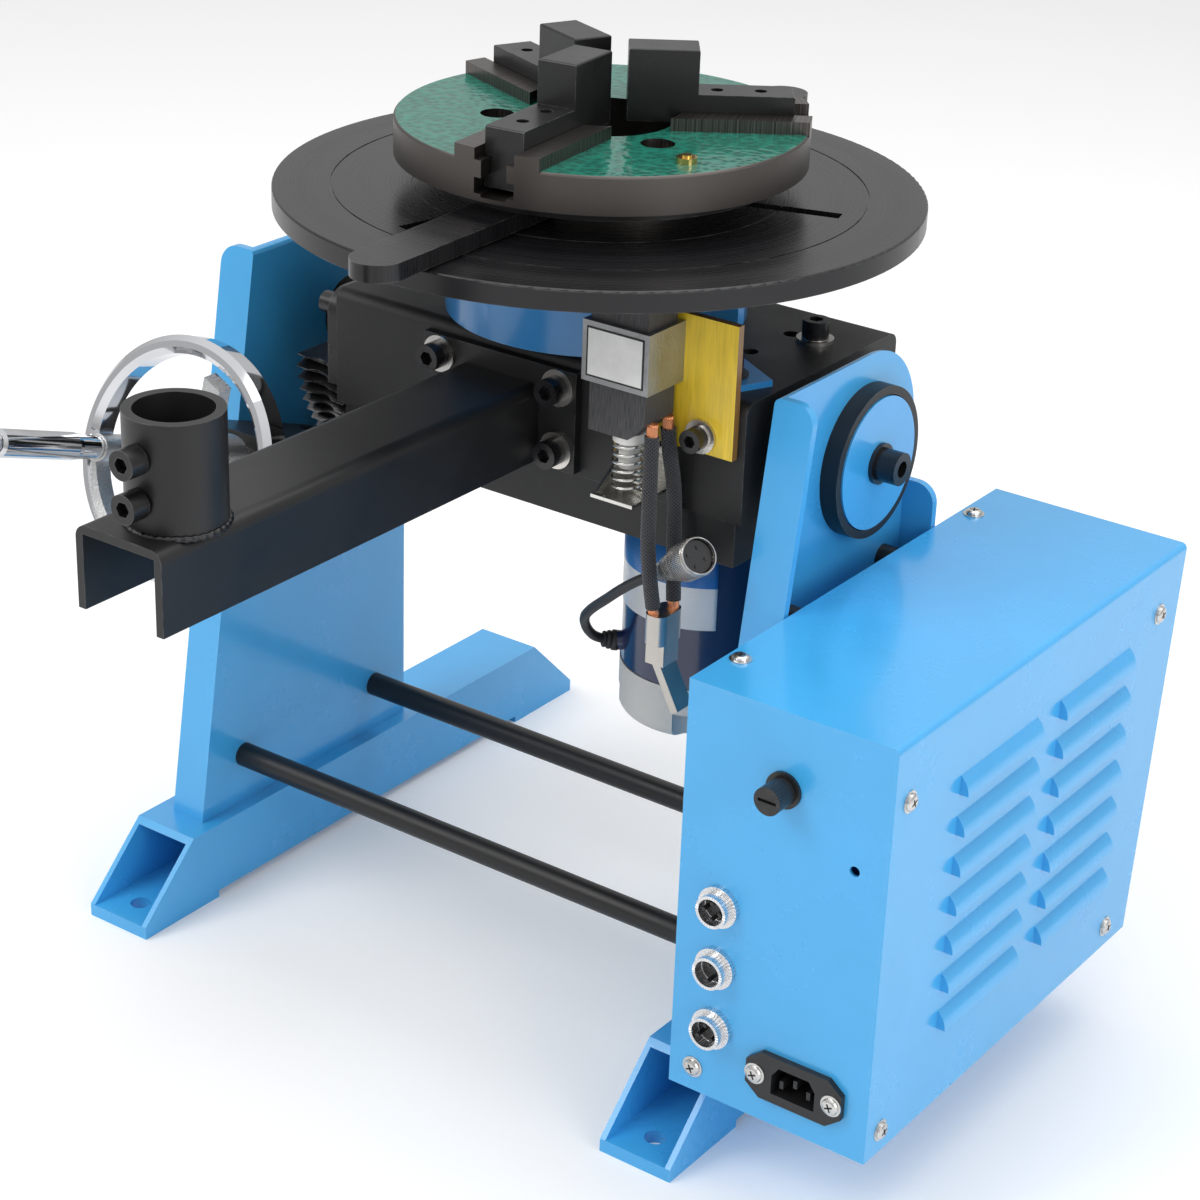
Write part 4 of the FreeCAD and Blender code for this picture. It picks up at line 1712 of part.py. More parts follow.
def make_board():
    """The drive board on its pillars, with transformer, heat sink and capacitors."""
    x, y, z = S.box_left + S.lip_width * 2, S.box_front + S.lip_width * 4, S.box_bottom + S.box_sheet
    long, wide = S.box_depth * 0.55, S.box_width * 0.6
    board = block("board_sheet", wide, long, S.board_height / 5, x, y, z + S.board_height)
    pieces = [board]
    for index, (across, along) in enumerate(((0, 0), (1, 0), (0, 1), (1, 1))):
        inset = S.board_height / 2
        pieces.append(cylinder(f"board_pillar_{index}", inset / 2, S.board_height + 1,
                               x + inset + (wide - inset * 2) * across,
                               y + inset + (long - inset * 2) * along, z))
    top = z + S.board_height
    pieces.append(block("board_transformer", wide * 0.5, wide * 0.6, wide * 0.45, x + inset,
                        y + inset * 2, top))
    pieces.append(block("board_heat_sink", wide * 0.2, long * 0.3, wide * 0.4, x + wide * 0.7,
                        y + long * 0.5, top))
    pieces.append(cylinder("board_capacitor", wide * 0.12, wide * 0.4, x + wide * 0.3,
                           y + long * 0.75, top))
    return fused("drive_board_built", *pieces)


def checked_nodes():
    """Stop on any failed object, null shape or open solid."""
    doc.recompute()
    for item in doc.Objects:
        if any(state in ("Invalid", "Error") for state in item.State):
            raise RuntimeError(f"{item.Label} did not recompute: {item.State}")
    for item in NODES:
        shape = item.Shape
        if shape.isNull() or not shape.isValid() or not shape.Solids:
            raise RuntimeError(f"{item.Label} is not a valid solid")


def main():
    for side, name in SIDES:
        make_foot(side, f"{name}_foot")
        make_side_plate(side, f"{name}_side_plate")
    for make in (make_tilt_bushes, make_crossbars, make_frame_fasteners, make_standoffs,
                 make_head_cover, make_head_base, make_trunnion, make_tilt_caps, make_housing,
                 make_spindle,
                 make_spindle_gear, make_motor_pinion, make_bearings, make_motor, make_motor_cap,
                 make_sector, make_worm, make_worm_bracket, make_handwheel, make_grip, make_table,
                 make_chuck_body, make_chuck_bolts, make_grease_nipple, make_scroll_lever,
                 make_arm_plate, make_arm, make_head_bolts, make_collar, make_clamp_screws,
                 make_insulator, make_sleeve, make_carbon_brush, make_brush_pin,
                 make_brush_spring, make_spring_seat, make_lead_lug, make_motor_plug,
                 make_plug_insert, make_box_base, make_box_cover, make_fuse_holder, make_fuse_cap,
                 make_inlet, make_panel_sockets, make_speed_knob, make_switch_frames,
                 make_electronics):
        make()
    for index in range(3):
        make_jaw(index)
    make_cord("front_brush_lead", FRONT_LEAD, LEAD_RADIUS)
    make_cord("rear_brush_lead", REAR_LEAD, LEAD_RADIUS)
    make_cord("motor_cable", MOTOR_CABLE, CABLE_RADIUS)
    make_rocker("power_rocker", S.power_row, -SIZES["switch_tilt"])
    make_rocker("direction_rocker", direction_row, 0)
    checked_nodes()
    os.makedirs("parts", exist_ok=True)
    for item in NODES:
        item.Shape.exportStep(f"parts/{item.Label}.step")
    print(f"{len(NODES)} sub-parts written")


main()
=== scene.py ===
import math

import bmesh
import bpy
from mathutils import Matrix, Vector


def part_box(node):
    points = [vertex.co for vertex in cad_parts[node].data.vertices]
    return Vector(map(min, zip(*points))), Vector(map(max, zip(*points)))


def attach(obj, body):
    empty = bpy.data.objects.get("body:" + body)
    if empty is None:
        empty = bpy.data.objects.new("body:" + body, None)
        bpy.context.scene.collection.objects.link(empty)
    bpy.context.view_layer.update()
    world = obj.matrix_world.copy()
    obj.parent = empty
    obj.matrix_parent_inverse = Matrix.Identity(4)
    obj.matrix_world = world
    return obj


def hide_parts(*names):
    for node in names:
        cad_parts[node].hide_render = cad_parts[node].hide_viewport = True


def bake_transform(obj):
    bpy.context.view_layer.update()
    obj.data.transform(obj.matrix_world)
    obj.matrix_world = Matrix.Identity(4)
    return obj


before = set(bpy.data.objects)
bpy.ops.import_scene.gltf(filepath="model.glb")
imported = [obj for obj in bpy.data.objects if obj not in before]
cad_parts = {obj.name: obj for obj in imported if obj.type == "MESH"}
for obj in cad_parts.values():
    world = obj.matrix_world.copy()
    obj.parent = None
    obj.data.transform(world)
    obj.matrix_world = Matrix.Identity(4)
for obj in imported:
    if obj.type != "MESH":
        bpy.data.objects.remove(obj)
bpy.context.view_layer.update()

bl_info = {
    "name": "Welding positioner dressing",
    "version": (1, 0, 0),
    "blender": (4, 5, 0),
    "location": "3D View > Sidebar > Positioner",
    "description": "Finishes, leads, labels, beads and studio for a benchtop welding positioner",
    "category": "Object",
}

MM = 0.001

# Places that the finishes and pieces share, in metres.
SPIN_AXIS = Vector((0.017, -0.030, 0.0))
MOTOR_AXIS = Vector((0.087, -0.030, 0.0))
COLLAR_CENTRE_Y = -0.3205
COLLAR_OUTER_RADIUS = 0.0214
WORM_TILT = math.radians(71)
WHEEL_RIM_INNER = 0.0505
ENAMEL_DROP = 0.006
FRONT_WASHER_Y = -0.1003
TOP_WASHER_Z = 0.3485
SOCKET_SHELL_RADIUS = 0.0062
STICKER_RADIUS = 0.0391
SCREW_HEAD = 0.0022
BOX_SIDE_X = 0.175
REAR_PANEL_Y, REAR_PANEL_Z = 0.09045, 0.1982
REAR_PANEL_LEAN = math.atan2(0.018, 0.2069)
STRAND_RADIUS = 0.00055
FULL_TURN = 2 * math.pi
MERGE = 0.000001
CABLE_PATH = ((53.1, -56.5, 189), (47.6, -62.2, 190.2), (46.8, -70.2, 197.6), (50.4, -79, 209),
              (60.5, -86.5, 219.5), (74, -94, 231), (88, -101, 243.5), (102.2, -105.6, 254.4),
              (116.2, -108.6, 263.6))
FRONT_LEAD_PATH = ((112.5, -118.2, 331.5), (112.6, -118.6, 322), (113.6, -119.6, 301),
                   (113.2, -119, 272), (115.1, -115.2, 247))
REAR_LEAD_PATH = ((111.9, -104.7, 331.5), (112.1, -104, 322), (113.6, -99.6, 301),
                  (114.2, -99, 272), (117.8, -102.6, 247))
PLUG_BACK = (116.2, -108.6, 263.6)
PLUG_FACE = (142.2, -120.4, 282.6)

BLACK = (0.0, 0.0, 0.0, 1.0)
WHITE = (1.0, 1.0, 1.0, 1.0)
COLOUR_SOCKET = "NodeSocketColor"
VALUE_SOCKET = "NodeSocketFloat"
VECTOR_SOCKET = "NodeSocketVector"


class PositionerSizes(bpy.types.PropertyGroup):
    """Sizes that can be changed before the pieces are made"""

    floor_size: bpy.props.FloatProperty(
        name="Floor", description="Side of the studio floor", default=14.0, min=2.0,
        unit="LENGTH")
    label_thickness: bpy.props.FloatProperty(
        name="Label thickness", description="Thickness of the blank plates and stickers",
        default=0.0003, min=0.0001, max=0.001, unit="LENGTH")
    bead_radius: bpy.props.FloatProperty(
        name="Weld bead", description="Radius of the weld bead round the collar",
        default=0.0015, min=0.0005, max=0.003, unit="LENGTH")
    strand_count: bpy.props.IntProperty(
        name="Copper strands", description="Strands that show where each lead enters the brush",
        default=9, min=3, max=20)
    cable_radius: bpy.props.FloatProperty(
        name="Motor cable radius", description="Radius of the motor's round cable",
        default=0.0025, min=0.001, max=0.005, unit="LENGTH")
    lead_radius: bpy.props.FloatProperty(
        name="Lead radius", description="Radius of the braided earth leads",
        default=0.0035, min=0.001, max=0.006, unit="LENGTH")


class PositionerColours(bpy.types.PropertyGroup):
    """Colours of the paints and plastics"""

    sky_blue: bpy.props.FloatVectorProperty(
        name="Frame blue", description="Gloss paint of the frame and the control box",
        subtype="COLOR", size=4, default=(0.055, 0.40, 0.80, 1.0), min=0.0, max=1.0)
    deep_blue: bpy.props.FloatVectorProperty(
        name="Housing blue", description="Paint of the spindle housing",
        subtype="COLOR", size=4, default=(0.022, 0.24, 0.60, 1.0), min=0.0, max=1.0)
    chuck_green: bpy.props.FloatVectorProperty(
        name="Chuck green", description="Hammered enamel on the chuck's face",
        subtype="COLOR", size=4, default=(0.010, 0.135, 0.095, 1.0), min=0.0, max=1.0)
    navy: bpy.props.FloatVectorProperty(
        name="Motor navy", description="Enamel of the motor's case",
        subtype="COLOR", size=4, default=(0.006, 0.018, 0.075, 1.0), min=0.0, max=1.0)
    fibre: bpy.props.FloatVectorProperty(
        name="Fibreglass", description="Resin of the insulating plate",
        subtype="COLOR", size=4, default=(0.78, 0.54, 0.03, 1.0), min=0.0, max=1.0)


def add_node(tree, kind, wires=None, **settings):
    """A node with its settings, and each input either wired to a socket or set to a value."""
    made = tree.nodes.new(kind)
    for name, value in settings.items():
        setattr(made, name, value)
    for key, value in (wires or {}).items():
        if isinstance(value, bpy.types.NodeSocket):
            tree.links.new(value, made.inputs[key])
        else:
            made.inputs[key].default_value = value
    return made


def maths(tree, operation, first, second=0.0, third=0.0):
    return add_node(tree, "ShaderNodeMath", {0: first, 1: second, 2: third},
                    operation=operation).outputs[0]


def length(tree, first, second):
    """The length of a vector given by two parts."""
    squared = maths(tree, "ADD", maths(tree, "MULTIPLY", first, first),
                    maths(tree, "MULTIPLY", second, second))
    return maths(tree, "SQRT", squared)


def between(tree, value, low, high, to_low=0.0, to_high=1.0):
    """The value carried from one range to another, held at both ends."""
    wires = {"Value": value, "From Min": low, "From Max": high, "To Min": to_low,
             "To Max": to_high}
    return add_node(tree, "ShaderNodeMapRange", wires).outputs[0]


def blended(tree, factor, first, second):
    """Two colours mixed."""
    return add_node(tree, "ShaderNodeMix", {0: factor, 6: first, 7: second},
                    data_type="RGBA").outputs[2]


def split(tree, vector):
    return add_node(tree, "ShaderNodeSeparateXYZ", {0: vector}).outputs


def shade(colour, amount):
    """The colour made lighter or darker by a factor."""
    return tuple(min(1.0, part * amount) for part in colour[:3]) + (1.0,)


def new_effect(name, inputs, outputs):
    """A shader node group with its sockets, and the sockets its inside starts from."""
    group = bpy.data.node_groups.new(name, "ShaderNodeTree")
    for label, kind, default in inputs:
        socket = group.interface.new_socket(label, in_out="INPUT", socket_type=kind)
        if default is not None:
            socket.default_value = default
    for label, kind in outputs:
        group.interface.new_socket(label, in_out="OUTPUT", socket_type=kind)
    entry = group.nodes.new("NodeGroupInput")
    leave = group.nodes.new("NodeGroupOutput")
    return group, entry.outputs, leave


def make_mottle():
    """Slow change of colour and gloss over a finish, as paint and plating have."""
    group, given, leave = new_effect(
        "mottle",
        [("Vector", VECTOR_SOCKET, None), ("Scale", VALUE_SOCKET, 30.0),
         ("Dark", COLOUR_SOCKET, (0.1, 0.1, 0.1, 1.0)),
         ("Light", COLOUR_SOCKET, (0.2, 0.2, 0.2, 1.0)),
         ("Low Roughness", VALUE_SOCKET, 0.3), ("High Roughness", VALUE_SOCKET, 0.4)],
        [("Colour", COLOUR_SOCKET), ("Roughness", VALUE_SOCKET)])
    broad = add_node(group, "ShaderNodeTexNoise",
                     {"Vector": given["Vector"], "Scale": given["Scale"], "Detail": 5.0,
                      "Roughness": 0.6}).outputs[0]
    spread = between(group, broad, 0.32, 0.68)
    colour = blended(group, spread, given["Dark"], given["Light"])
    rough = add_node(group, "ShaderNodeMapRange",
                     {"Value": spread, "To Min": given["Low Roughness"],
                      "To Max": given["High Roughness"]}).outputs[0]
    group.links.new(colour, leave.inputs["Colour"])
    group.links.new(rough, leave.inputs["Roughness"])


def make_peel():
    """Fine relief of sprayed paint, textured powder or cast metal."""
    group, given, leave = new_effect(
        "peel",
        [("Vector", VECTOR_SOCKET, None), ("Scale", VALUE_SOCKET, 800.0),
         ("Depth", VALUE_SOCKET, 0.0001), ("Sharpness", VALUE_SOCKET, 0.5)],
        [("Normal", VECTOR_SOCKET)])
    grains = add_node(group, "ShaderNodeTexNoise",
                      {"Vector": given["Vector"], "Scale": given["Scale"], "Detail": 3.0,
                       "Roughness": given["Sharpness"]}).outputs[0]
    relief = add_node(group, "ShaderNodeBump", {"Height": grains, "Distance": given["Depth"],
                                                "Strength": 1.0})
    group.links.new(relief.outputs[0], leave.inputs["Normal"])


def make_turned():
    """Tool marks round an axis: the pattern depends on the distance from the local Z axis."""
    group, given, leave = new_effect(
        "turned",
        [("Vector", VECTOR_SOCKET, None), ("Scale", VALUE_SOCKET, 900.0)],
        [("Lines", VALUE_SOCKET), ("Bands", VALUE_SOCKET)])
    x, y, _ = split(group, given["Vector"])
    radius = length(group, x, y)
    fine = add_node(group, "ShaderNodeTexNoise",
                    {"W": radius, "Scale": given["Scale"], "Detail": 4.0},
                    noise_dimensions="1D").outputs[0]
    broad_scale = maths(group, "MULTIPLY", given["Scale"], 0.06)
    broad = add_node(group, "ShaderNodeTexNoise",
                     {"W": radius, "Scale": broad_scale, "Detail": 2.0},
                     noise_dimensions="1D").outputs[0]
    group.links.new(fine, leave.inputs["Lines"])
    group.links.new(broad, leave.inputs["Bands"])


def make_streaks():
    """Long thin marks along the local Z axis, for ground metal and pressed fibre."""
    group, given, leave = new_effect(
        "streaks",
        [("Vector", VECTOR_SOCKET, None), ("Scale", VALUE_SOCKET, 900.0),
         ("Stretch", VALUE_SOCKET, 0.03)],
        [("Lines", VALUE_SOCKET)])
    x, y, z = split(group, given["Vector"])
    drawn = add_node(group, "ShaderNodeCombineXYZ",
                     {0: x, 1: y, 2: maths(group, "MULTIPLY", z, given["Stretch"])}).outputs[0]
    lines = add_node(group, "ShaderNodeTexNoise",
                     {"Vector": drawn, "Scale": given["Scale"], "Detail": 4.0}).outputs[0]
    group.links.new(lines, leave.inputs["Lines"])


def make_rubbed_edges_and_highlight():
    """A mask that is bright along outer edges and broken up by noise: partly rubbed edges, partly
    a painted highlight along them.
    """
    group, given, leave = new_effect(
        "rubbed edges and highlight",
        [("Vector", VECTOR_SOCKET, None), ("Width", VALUE_SOCKET, 0.0008),
         ("Breakup", VALUE_SOCKET, 120.0)],
        [("Mask", VALUE_SOCKET)])
    rounded = add_node(group, "ShaderNodeBevel", {"Radius": given["Width"]}, samples=4).outputs[0]
    flat = group.nodes.new("ShaderNodeNewGeometry").outputs["Normal"]
    turn = add_node(group, "ShaderNodeVectorMath", {0: rounded, 1: flat},
                    operation="DOT_PRODUCT").outputs["Value"]
    edge = between(group, turn, 0.985, 0.86)
    patches = add_node(group, "ShaderNodeTexNoise",
                       {"Vector": given["Vector"], "Scale": given["Breakup"],
                        "Detail": 3.0}).outputs[0]
    mask = maths(group, "MULTIPLY", edge, between(group, patches, 0.38, 0.62))
    group.links.new(mask, leave.inputs["Mask"])


def make_knurl():
    """Crossed ridges round the local Z axis."""
    group, given, leave = new_effect(
        "knurl",
        [("Vector", VECTOR_SOCKET, None), ("Count", VALUE_SOCKET, 40.0),
         ("Twist", VALUE_SOCKET, 2500.0)],
        [("Ridges", VALUE_SOCKET)])
    x, y, z = split(group, given["Vector"])
    around = maths(group, "MULTIPLY", maths(group, "ARCTAN2", y, x), given["Count"])
    along = maths(group, "MULTIPLY", z, given["Twist"])
    left = maths(group, "SINE", maths(group, "ADD", around, along))
    right = maths(group, "SINE", maths(group, "SUBTRACT", around, along))
    ridges = between(group, maths(group, "MULTIPLY", left, right), -0.6, 0.6)
    group.links.new(ridges, leave.inputs["Ridges"])


class Finish:
    """A material being built: its Principled shader and the coordinates its patterns read."""

    def __init__(self, name, roughness=0.4, metallic=0.0, coat=0.0, specular=0.5):
        self.material = bpy.data.materials.new(name)
        self.material.use_nodes = True
        self.tree = self.material.node_tree
        self.shader = self.tree.nodes["Principled BSDF"]
        self.shader.inputs["Roughness"].default_value = roughness
        self.shader.inputs["Metallic"].default_value = metallic
        self.shader.inputs["Coat Weight"].default_value = coat
        self.shader.inputs["Coat Roughness"].default_value = 0.12
        self.shader.inputs["Specular IOR Level"].default_value = specular
        coordinates = add_node(self.tree, "ShaderNodeTexCoord").outputs
        self.place, self.facing = coordinates["Object"], coordinates["Normal"]

    def maths(self, *values):
        return maths(self.tree, *values)

    def between(self, *values):
        return between(self.tree, *values)

    def blended(self, *values):
        return blended(self.tree, *values)

    def centred(self, centre, turn=(0.0, 0.0, 0.0)):
        """The Object coordinates read from a centre, turned so that a piece's axis is Z."""
        moved = add_node(self.tree, "ShaderNodeVectorMath",
                         {0: self.place, 1: tuple(centre)}, operation="SUBTRACT").outputs[0]
        return add_node(self.tree, "ShaderNodeMapping",
                        {"Vector": moved, "Rotation": turn}).outputs[0]

    def effect(self, name, **values):
        """One shared effect, reading this finish's coordinates unless it is given others."""
        made = self.tree.nodes.new("ShaderNodeGroup")
        made.node_tree = bpy.data.node_groups[name]
        self.tree.links.new(values.pop("vector", self.place), made.inputs["Vector"])
        for label, value in values.items():
            socket = made.inputs[label.replace("_", " ").title()]
            if isinstance(value, bpy.types.NodeSocket):
                self.tree.links.new(value, socket)
            else:
                socket.default_value = value
        return made.outputs

    def feed(self, **sockets):
        """Wires sockets into the shader by the name of its input."""
        for label, socket in sockets.items():
            self.tree.links.new(socket, self.shader.inputs[label.replace("_", " ").title()])
        return self

    def relief(self, height, depth):
        bump = add_node(self.tree, "ShaderNodeBump", {"Height": height, "Distance": depth,
                                                      "Strength": 1.0})
        return self.feed(normal=bump.outputs[0])


def painted(name, colour, scale=14.0, rough=(0.20, 0.30), peel=420.0, depth=0.00005, coat=0.5,
            rub_and_highlight=0.12, contrast=0.04):
    """Sprayed paint: an even colour, orange peel, and lighter edges, partly thin paint and partly
    a painted highlight.
    """
    made = Finish(name, coat=coat)
    body = made.effect("mottle", scale=scale, dark=shade(colour, 1 - contrast),
                       light=shade(colour, 1 + contrast), low_roughness=rough[0],
                       high_roughness=rough[1])
    rubbed_and_lit = made.effect("rubbed edges and highlight", width=0.0009)
    rubbed_and_lit_colour = tuple(part * 0.55 + 0.4 for part in colour[:3]) + (1.0,)
    mask = made.maths("MULTIPLY", rubbed_and_lit["Mask"], rub_and_highlight)
    made.feed(base_color=made.blended(mask, body["Colour"], rubbed_and_lit_colour), roughness=body["Roughness"])
    made.feed(normal=made.effect("peel", scale=peel, depth=depth)["Normal"])
    return made.material


def textured_black(name, level, rough, peel, depth, rub_and_highlight=0.25):
    """Powder coat or black oxide with a grain, and edges lightened to a dull grey, partly rubbed
    and partly a painted highlight.
    """
    made = Finish(name, specular=0.45)
    body = made.effect("mottle", scale=22.0, dark=(level * 0.8, level * 0.8, level * 0.85, 1.0),
                       light=(level * 1.25, level * 1.25, level * 1.3, 1.0),
                       low_roughness=rough[0], high_roughness=rough[1])
    rubbed_and_lit = made.effect("rubbed edges and highlight", width=0.0007, breakup=160.0)
    mask = made.maths("MULTIPLY", rubbed_and_lit["Mask"], rub_and_highlight)
    made.feed(base_color=made.blended(mask, body["Colour"], (0.35, 0.35, 0.36, 1.0)),
              roughness=body["Roughness"])
    made.feed(normal=made.effect("peel", scale=peel, depth=depth, sharpness=0.65)["Normal"])
    return made.material


def bare_metal(name, colour, rough, scale=40.0, grain=1500.0, depth=0.00002, rub_and_highlight=0.0):
    """Plated, drawn or ground metal with fine grain and stains."""
    made = Finish(name, metallic=1.0)
    body = made.effect("mottle", scale=scale, dark=shade(colour, 0.86), light=shade(colour, 1.08),
                       low_roughness=rough[0], high_roughness=rough[1])
    # Paler edges, partly rubbed and partly a painted highlight, by an amount that is 0 unless
    # given.
    rubbed_and_lit = made.effect("rubbed edges and highlight", width=0.0006)
    mask = made.maths("MULTIPLY", rubbed_and_lit["Mask"], rub_and_highlight)
    made.feed(base_color=made.blended(mask, body["Colour"], (0.9, 0.9, 0.9, 1.0)),
              roughness=body["Roughness"])
    made.feed(normal=made.effect("peel", scale=grain, depth=depth)["Normal"])
    return made.material


def turned_metal(name, centre, dark, light, rough, turn=(0.0, 0.0, 0.0), scale=900.0,
                 depth=0.00006, metallic=1.0):
    """Metal faced on a lathe, with its marks round one axis."""
    made = Finish(name, metallic=metallic)
    marks = made.effect("turned", vector=made.centred(centre, turn), scale=scale)
    lines = made.between(marks["Lines"], 0.35, 0.65)
    bands = made.between(marks["Bands"], 0.3, 0.7)
    stains = made.effect("mottle", scale=26.0, dark=BLACK, light=WHITE)
    tone = made.maths("ADD", made.maths("MULTIPLY", lines, 0.5),
                      made.maths("MULTIPLY", bands, 0.5))
    colour = made.blended(tone, dark, light)
    stained = made.blended(made.maths("MULTIPLY", stains["Colour"], 0.18), colour, dark)
    # Lighter grey along the outer edges: partly rubbed, partly a painted highlight.
    rubbed_and_lit = made.effect("rubbed edges and highlight", width=0.0008)
    mask = made.maths("MULTIPLY", rubbed_and_lit["Mask"], 0.2)
    made.feed(base_color=made.blended(mask, stained, (0.4, 0.4, 0.4, 1.0)),
              roughness=made.between(tone, 0.0, 1.0, rough[0], rough[1]))
    return made.relief(marks["Lines"], depth).material


def plastic(name, colour, rough=(0.3, 0.42)):
    """Moulded plastic with a faint spark-eroded grain."""
    made = Finish(name)
    body = made.effect("mottle", scale=60.0, dark=shade(colour, 0.9), light=shade(colour, 1.1),
                       low_roughness=rough[0], high_roughness=rough[1])
    made.feed(base_color=body["Colour"], roughness=body["Roughness"])
    made.feed(normal=made.effect("peel", scale=1800.0, depth=0.00003)["Normal"])
    return made.material


def knurled(name, base, centre, turn, count, twist, metallic, rough, depth=0.0003):
    """A ring with crossed ridges to grip."""
    made = Finish(name, metallic=metallic)
    marks = made.effect("knurl", vector=made.centred(centre, turn), count=count, twist=twist)
    ridges = marks["Ridges"]
    made.feed(base_color=made.blended(ridges, shade(base, 0.55), base),
              roughness=made.between(ridges, 0.0, 1.0, rough[1], rough[0]))
    return made.relief(ridges, depth).material


def bolt_finish():
    """Black oxide socket screws with nickel-plated washers under their heads."""
    made = Finish("black screws and washers")
    _, y, z = split(made.tree, made.place)
    front = made.maths("COMPARE", y, FRONT_WASHER_Y, 0.0013)
    top = made.maths("COMPARE", z, TOP_WASHER_Z, 0.0009)
    washer = made.maths("MAXIMUM", front, top)
    body = made.effect("mottle", scale=90.0, dark=(0.006, 0.006, 0.007, 1.0),
                       light=(0.014, 0.014, 0.016, 1.0), low_roughness=0.24, high_roughness=0.36)
    made.feed(base_color=made.blended(washer, body["Colour"], (0.6, 0.58, 0.55, 1.0)),
              metallic=washer, roughness=body["Roughness"])
    made.feed(normal=made.effect("peel", scale=900.0, depth=0.00003)["Normal"])
    return made.material


def chuck_finish(green):
    """Dark turned steel with a hammered enamel on the recessed part of the face."""
    made = Finish("chuck steel and enamel")
    marks = made.effect("turned", vector=made.centred(SPIN_AXIS), scale=1100.0)
    rim_marks = made.effect("streaks", scale=2200.0, stretch=25.0)
    steel = made.blended(made.between(marks["Lines"], 0.35, 0.65),
                         (0.07, 0.062, 0.056, 1.0), (0.19, 0.175, 0.165, 1.0))
    steel = made.blended(made.between(rim_marks["Lines"], 0.3, 0.7, 0.0, 0.25), steel,
                         (0.045, 0.04, 0.036, 1.0))
    cells = add_node(made.tree, "ShaderNodeTexVoronoi",
                     {"Vector": made.place, "Scale": 260.0, "Smoothness": 0.6},
                     feature="SMOOTH_F1")
    enamel = made.blended(made.between(cells.outputs["Distance"], 0.1, 0.7),
                          shade(green, 0.65), shade(green, 1.35))
    z = split(made.tree, made.place)[2]
    up = split(made.tree, made.facing)[2]
    on_face = made.maths("COMPARE", z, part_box("chuck_body")[1].z - ENAMEL_DROP, 0.0004)
    mask = made.maths("MULTIPLY", on_face, made.maths("GREATER_THAN", up, 0.9))
    made.feed(base_color=made.blended(mask, steel, enamel),
              roughness=made.between(mask, 0.0, 1.0, 0.36, 0.2),
              metallic=made.between(mask, 0.0, 1.0, 1.0, 0.0))
    hammered = made.maths("MULTIPLY", cells.outputs["Distance"], mask)
    turned = made.maths("MULTIPLY", marks["Lines"], made.maths("SUBTRACT", 1.0, mask))
    return made.relief(made.maths("ADD", made.maths("MULTIPLY", hammered, 4.0), turned),
                       0.00008).material


def wheel_finish():
    """Chromed rim, polished round, with the spokes and hub left as bright casting."""
    low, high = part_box("handwheel")
    centre = (low + high) / 2
    made = Finish("chromed wheel", metallic=1.0)
    x, y, _ = split(made.tree, made.centred(centre, (-WORM_TILT, 0.0, 0.0)))
    radius = length(made.tree, x, y)
    cast = made.between(radius, WHEEL_RIM_INNER + 0.001, WHEEL_RIM_INNER - 0.001)
    grains = add_node(made.tree, "ShaderNodeTexNoise",
                      {"Vector": made.place, "Scale": 900.0, "Detail": 4.0}).outputs[0]
    rough = made.between(cast, 0.0, 1.0, 0.06, 0.34)
    bright = made.blended(grains, (0.42, 0.42, 0.42, 1.0), (0.72, 0.72, 0.72, 1.0))
    made.feed(base_color=made.blended(cast, (0.64, 0.65, 0.67, 1.0), bright), roughness=rough)
    return made.relief(made.maths("MULTIPLY", grains, cast), 0.0005).material


def socket_finish():
    """Chromed panel sockets: bright shells round dark inserts."""
    low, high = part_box("panel_sockets")
    centre_x = (low.x + high.x) / 2
    pitch = (high.z - low.z - (high.x - low.x)) / 2
    made = Finish("panel socket chrome")
    x, _, z = split(made.tree, made.place)
    across = made.maths("SUBTRACT", x, centre_x)
    first = low.z + (high.x - low.x) / 2 - pitch / 2
    row = made.maths("MODULO", made.maths("SUBTRACT", z, first), pitch)
    tall = made.maths("SUBTRACT", row, pitch / 2)
    radius = length(made.tree, across, tall)
    shell = made.maths("GREATER_THAN", radius, SOCKET_SHELL_RADIUS)
    around = made.maths("MULTIPLY", made.maths("ARCTAN2", tall, across), 36.0)
    ridges = made.between(made.maths("SINE", around), -0.5, 0.5)
    made.feed(base_color=made.blended(shell, (0.015, 0.015, 0.016, 1.0), (0.8, 0.8, 0.81, 1.0)),
              metallic=shell, roughness=made.between(ridges, 0.0, 1.0, 0.28, 0.14))
    return made.relief(made.maths("MULTIPLY", ridges, shell), 0.0002).material


def fibre_finish(resin):
    """Pressed fibreglass: fine upright strands in a yellow resin that browns at the cut edge."""
    made = Finish("fibreglass", coat=0.3)
    lines = made.effect("streaks", scale=1300.0, stretch=0.05)["Lines"]
    wide = made.effect("streaks", scale=240.0, stretch=0.12)["Lines"]
    tone = made.maths("ADD", made.maths("MULTIPLY", lines, 0.6),
                      made.maths("MULTIPLY", wide, 0.4))
    colour = made.blended(made.between(tone, 0.35, 0.65), shade(resin, 0.84),
                          shade(resin, 1.12))
    facing = split(made.tree, made.facing)[1]
    cut = made.between(made.maths("ABSOLUTE", facing), 0.6, 0.4)
    made.feed(base_color=made.blended(cut, colour, (0.20, 0.10, 0.025, 1.0)),
              roughness=made.between(tone, 0.3, 0.7, 0.3, 0.5))
    return made.relief(lines, 0.00006).material


def graphite_finish():
    """Pressed carbon with fine scratches along its length."""
    made = Finish("graphite", metallic=0.35)
    lines = made.effect("streaks", scale=3600.0, stretch=0.04)["Lines"]
    made.feed(base_color=made.blended(made.between(lines, 0.35, 0.65),
                                      (0.035, 0.035, 0.037, 1.0), (0.095, 0.095, 0.10, 1.0)),
              roughness=made.between(lines, 0.3, 0.7, 0.35, 0.6))
    return made.relief(lines, 0.00005).material


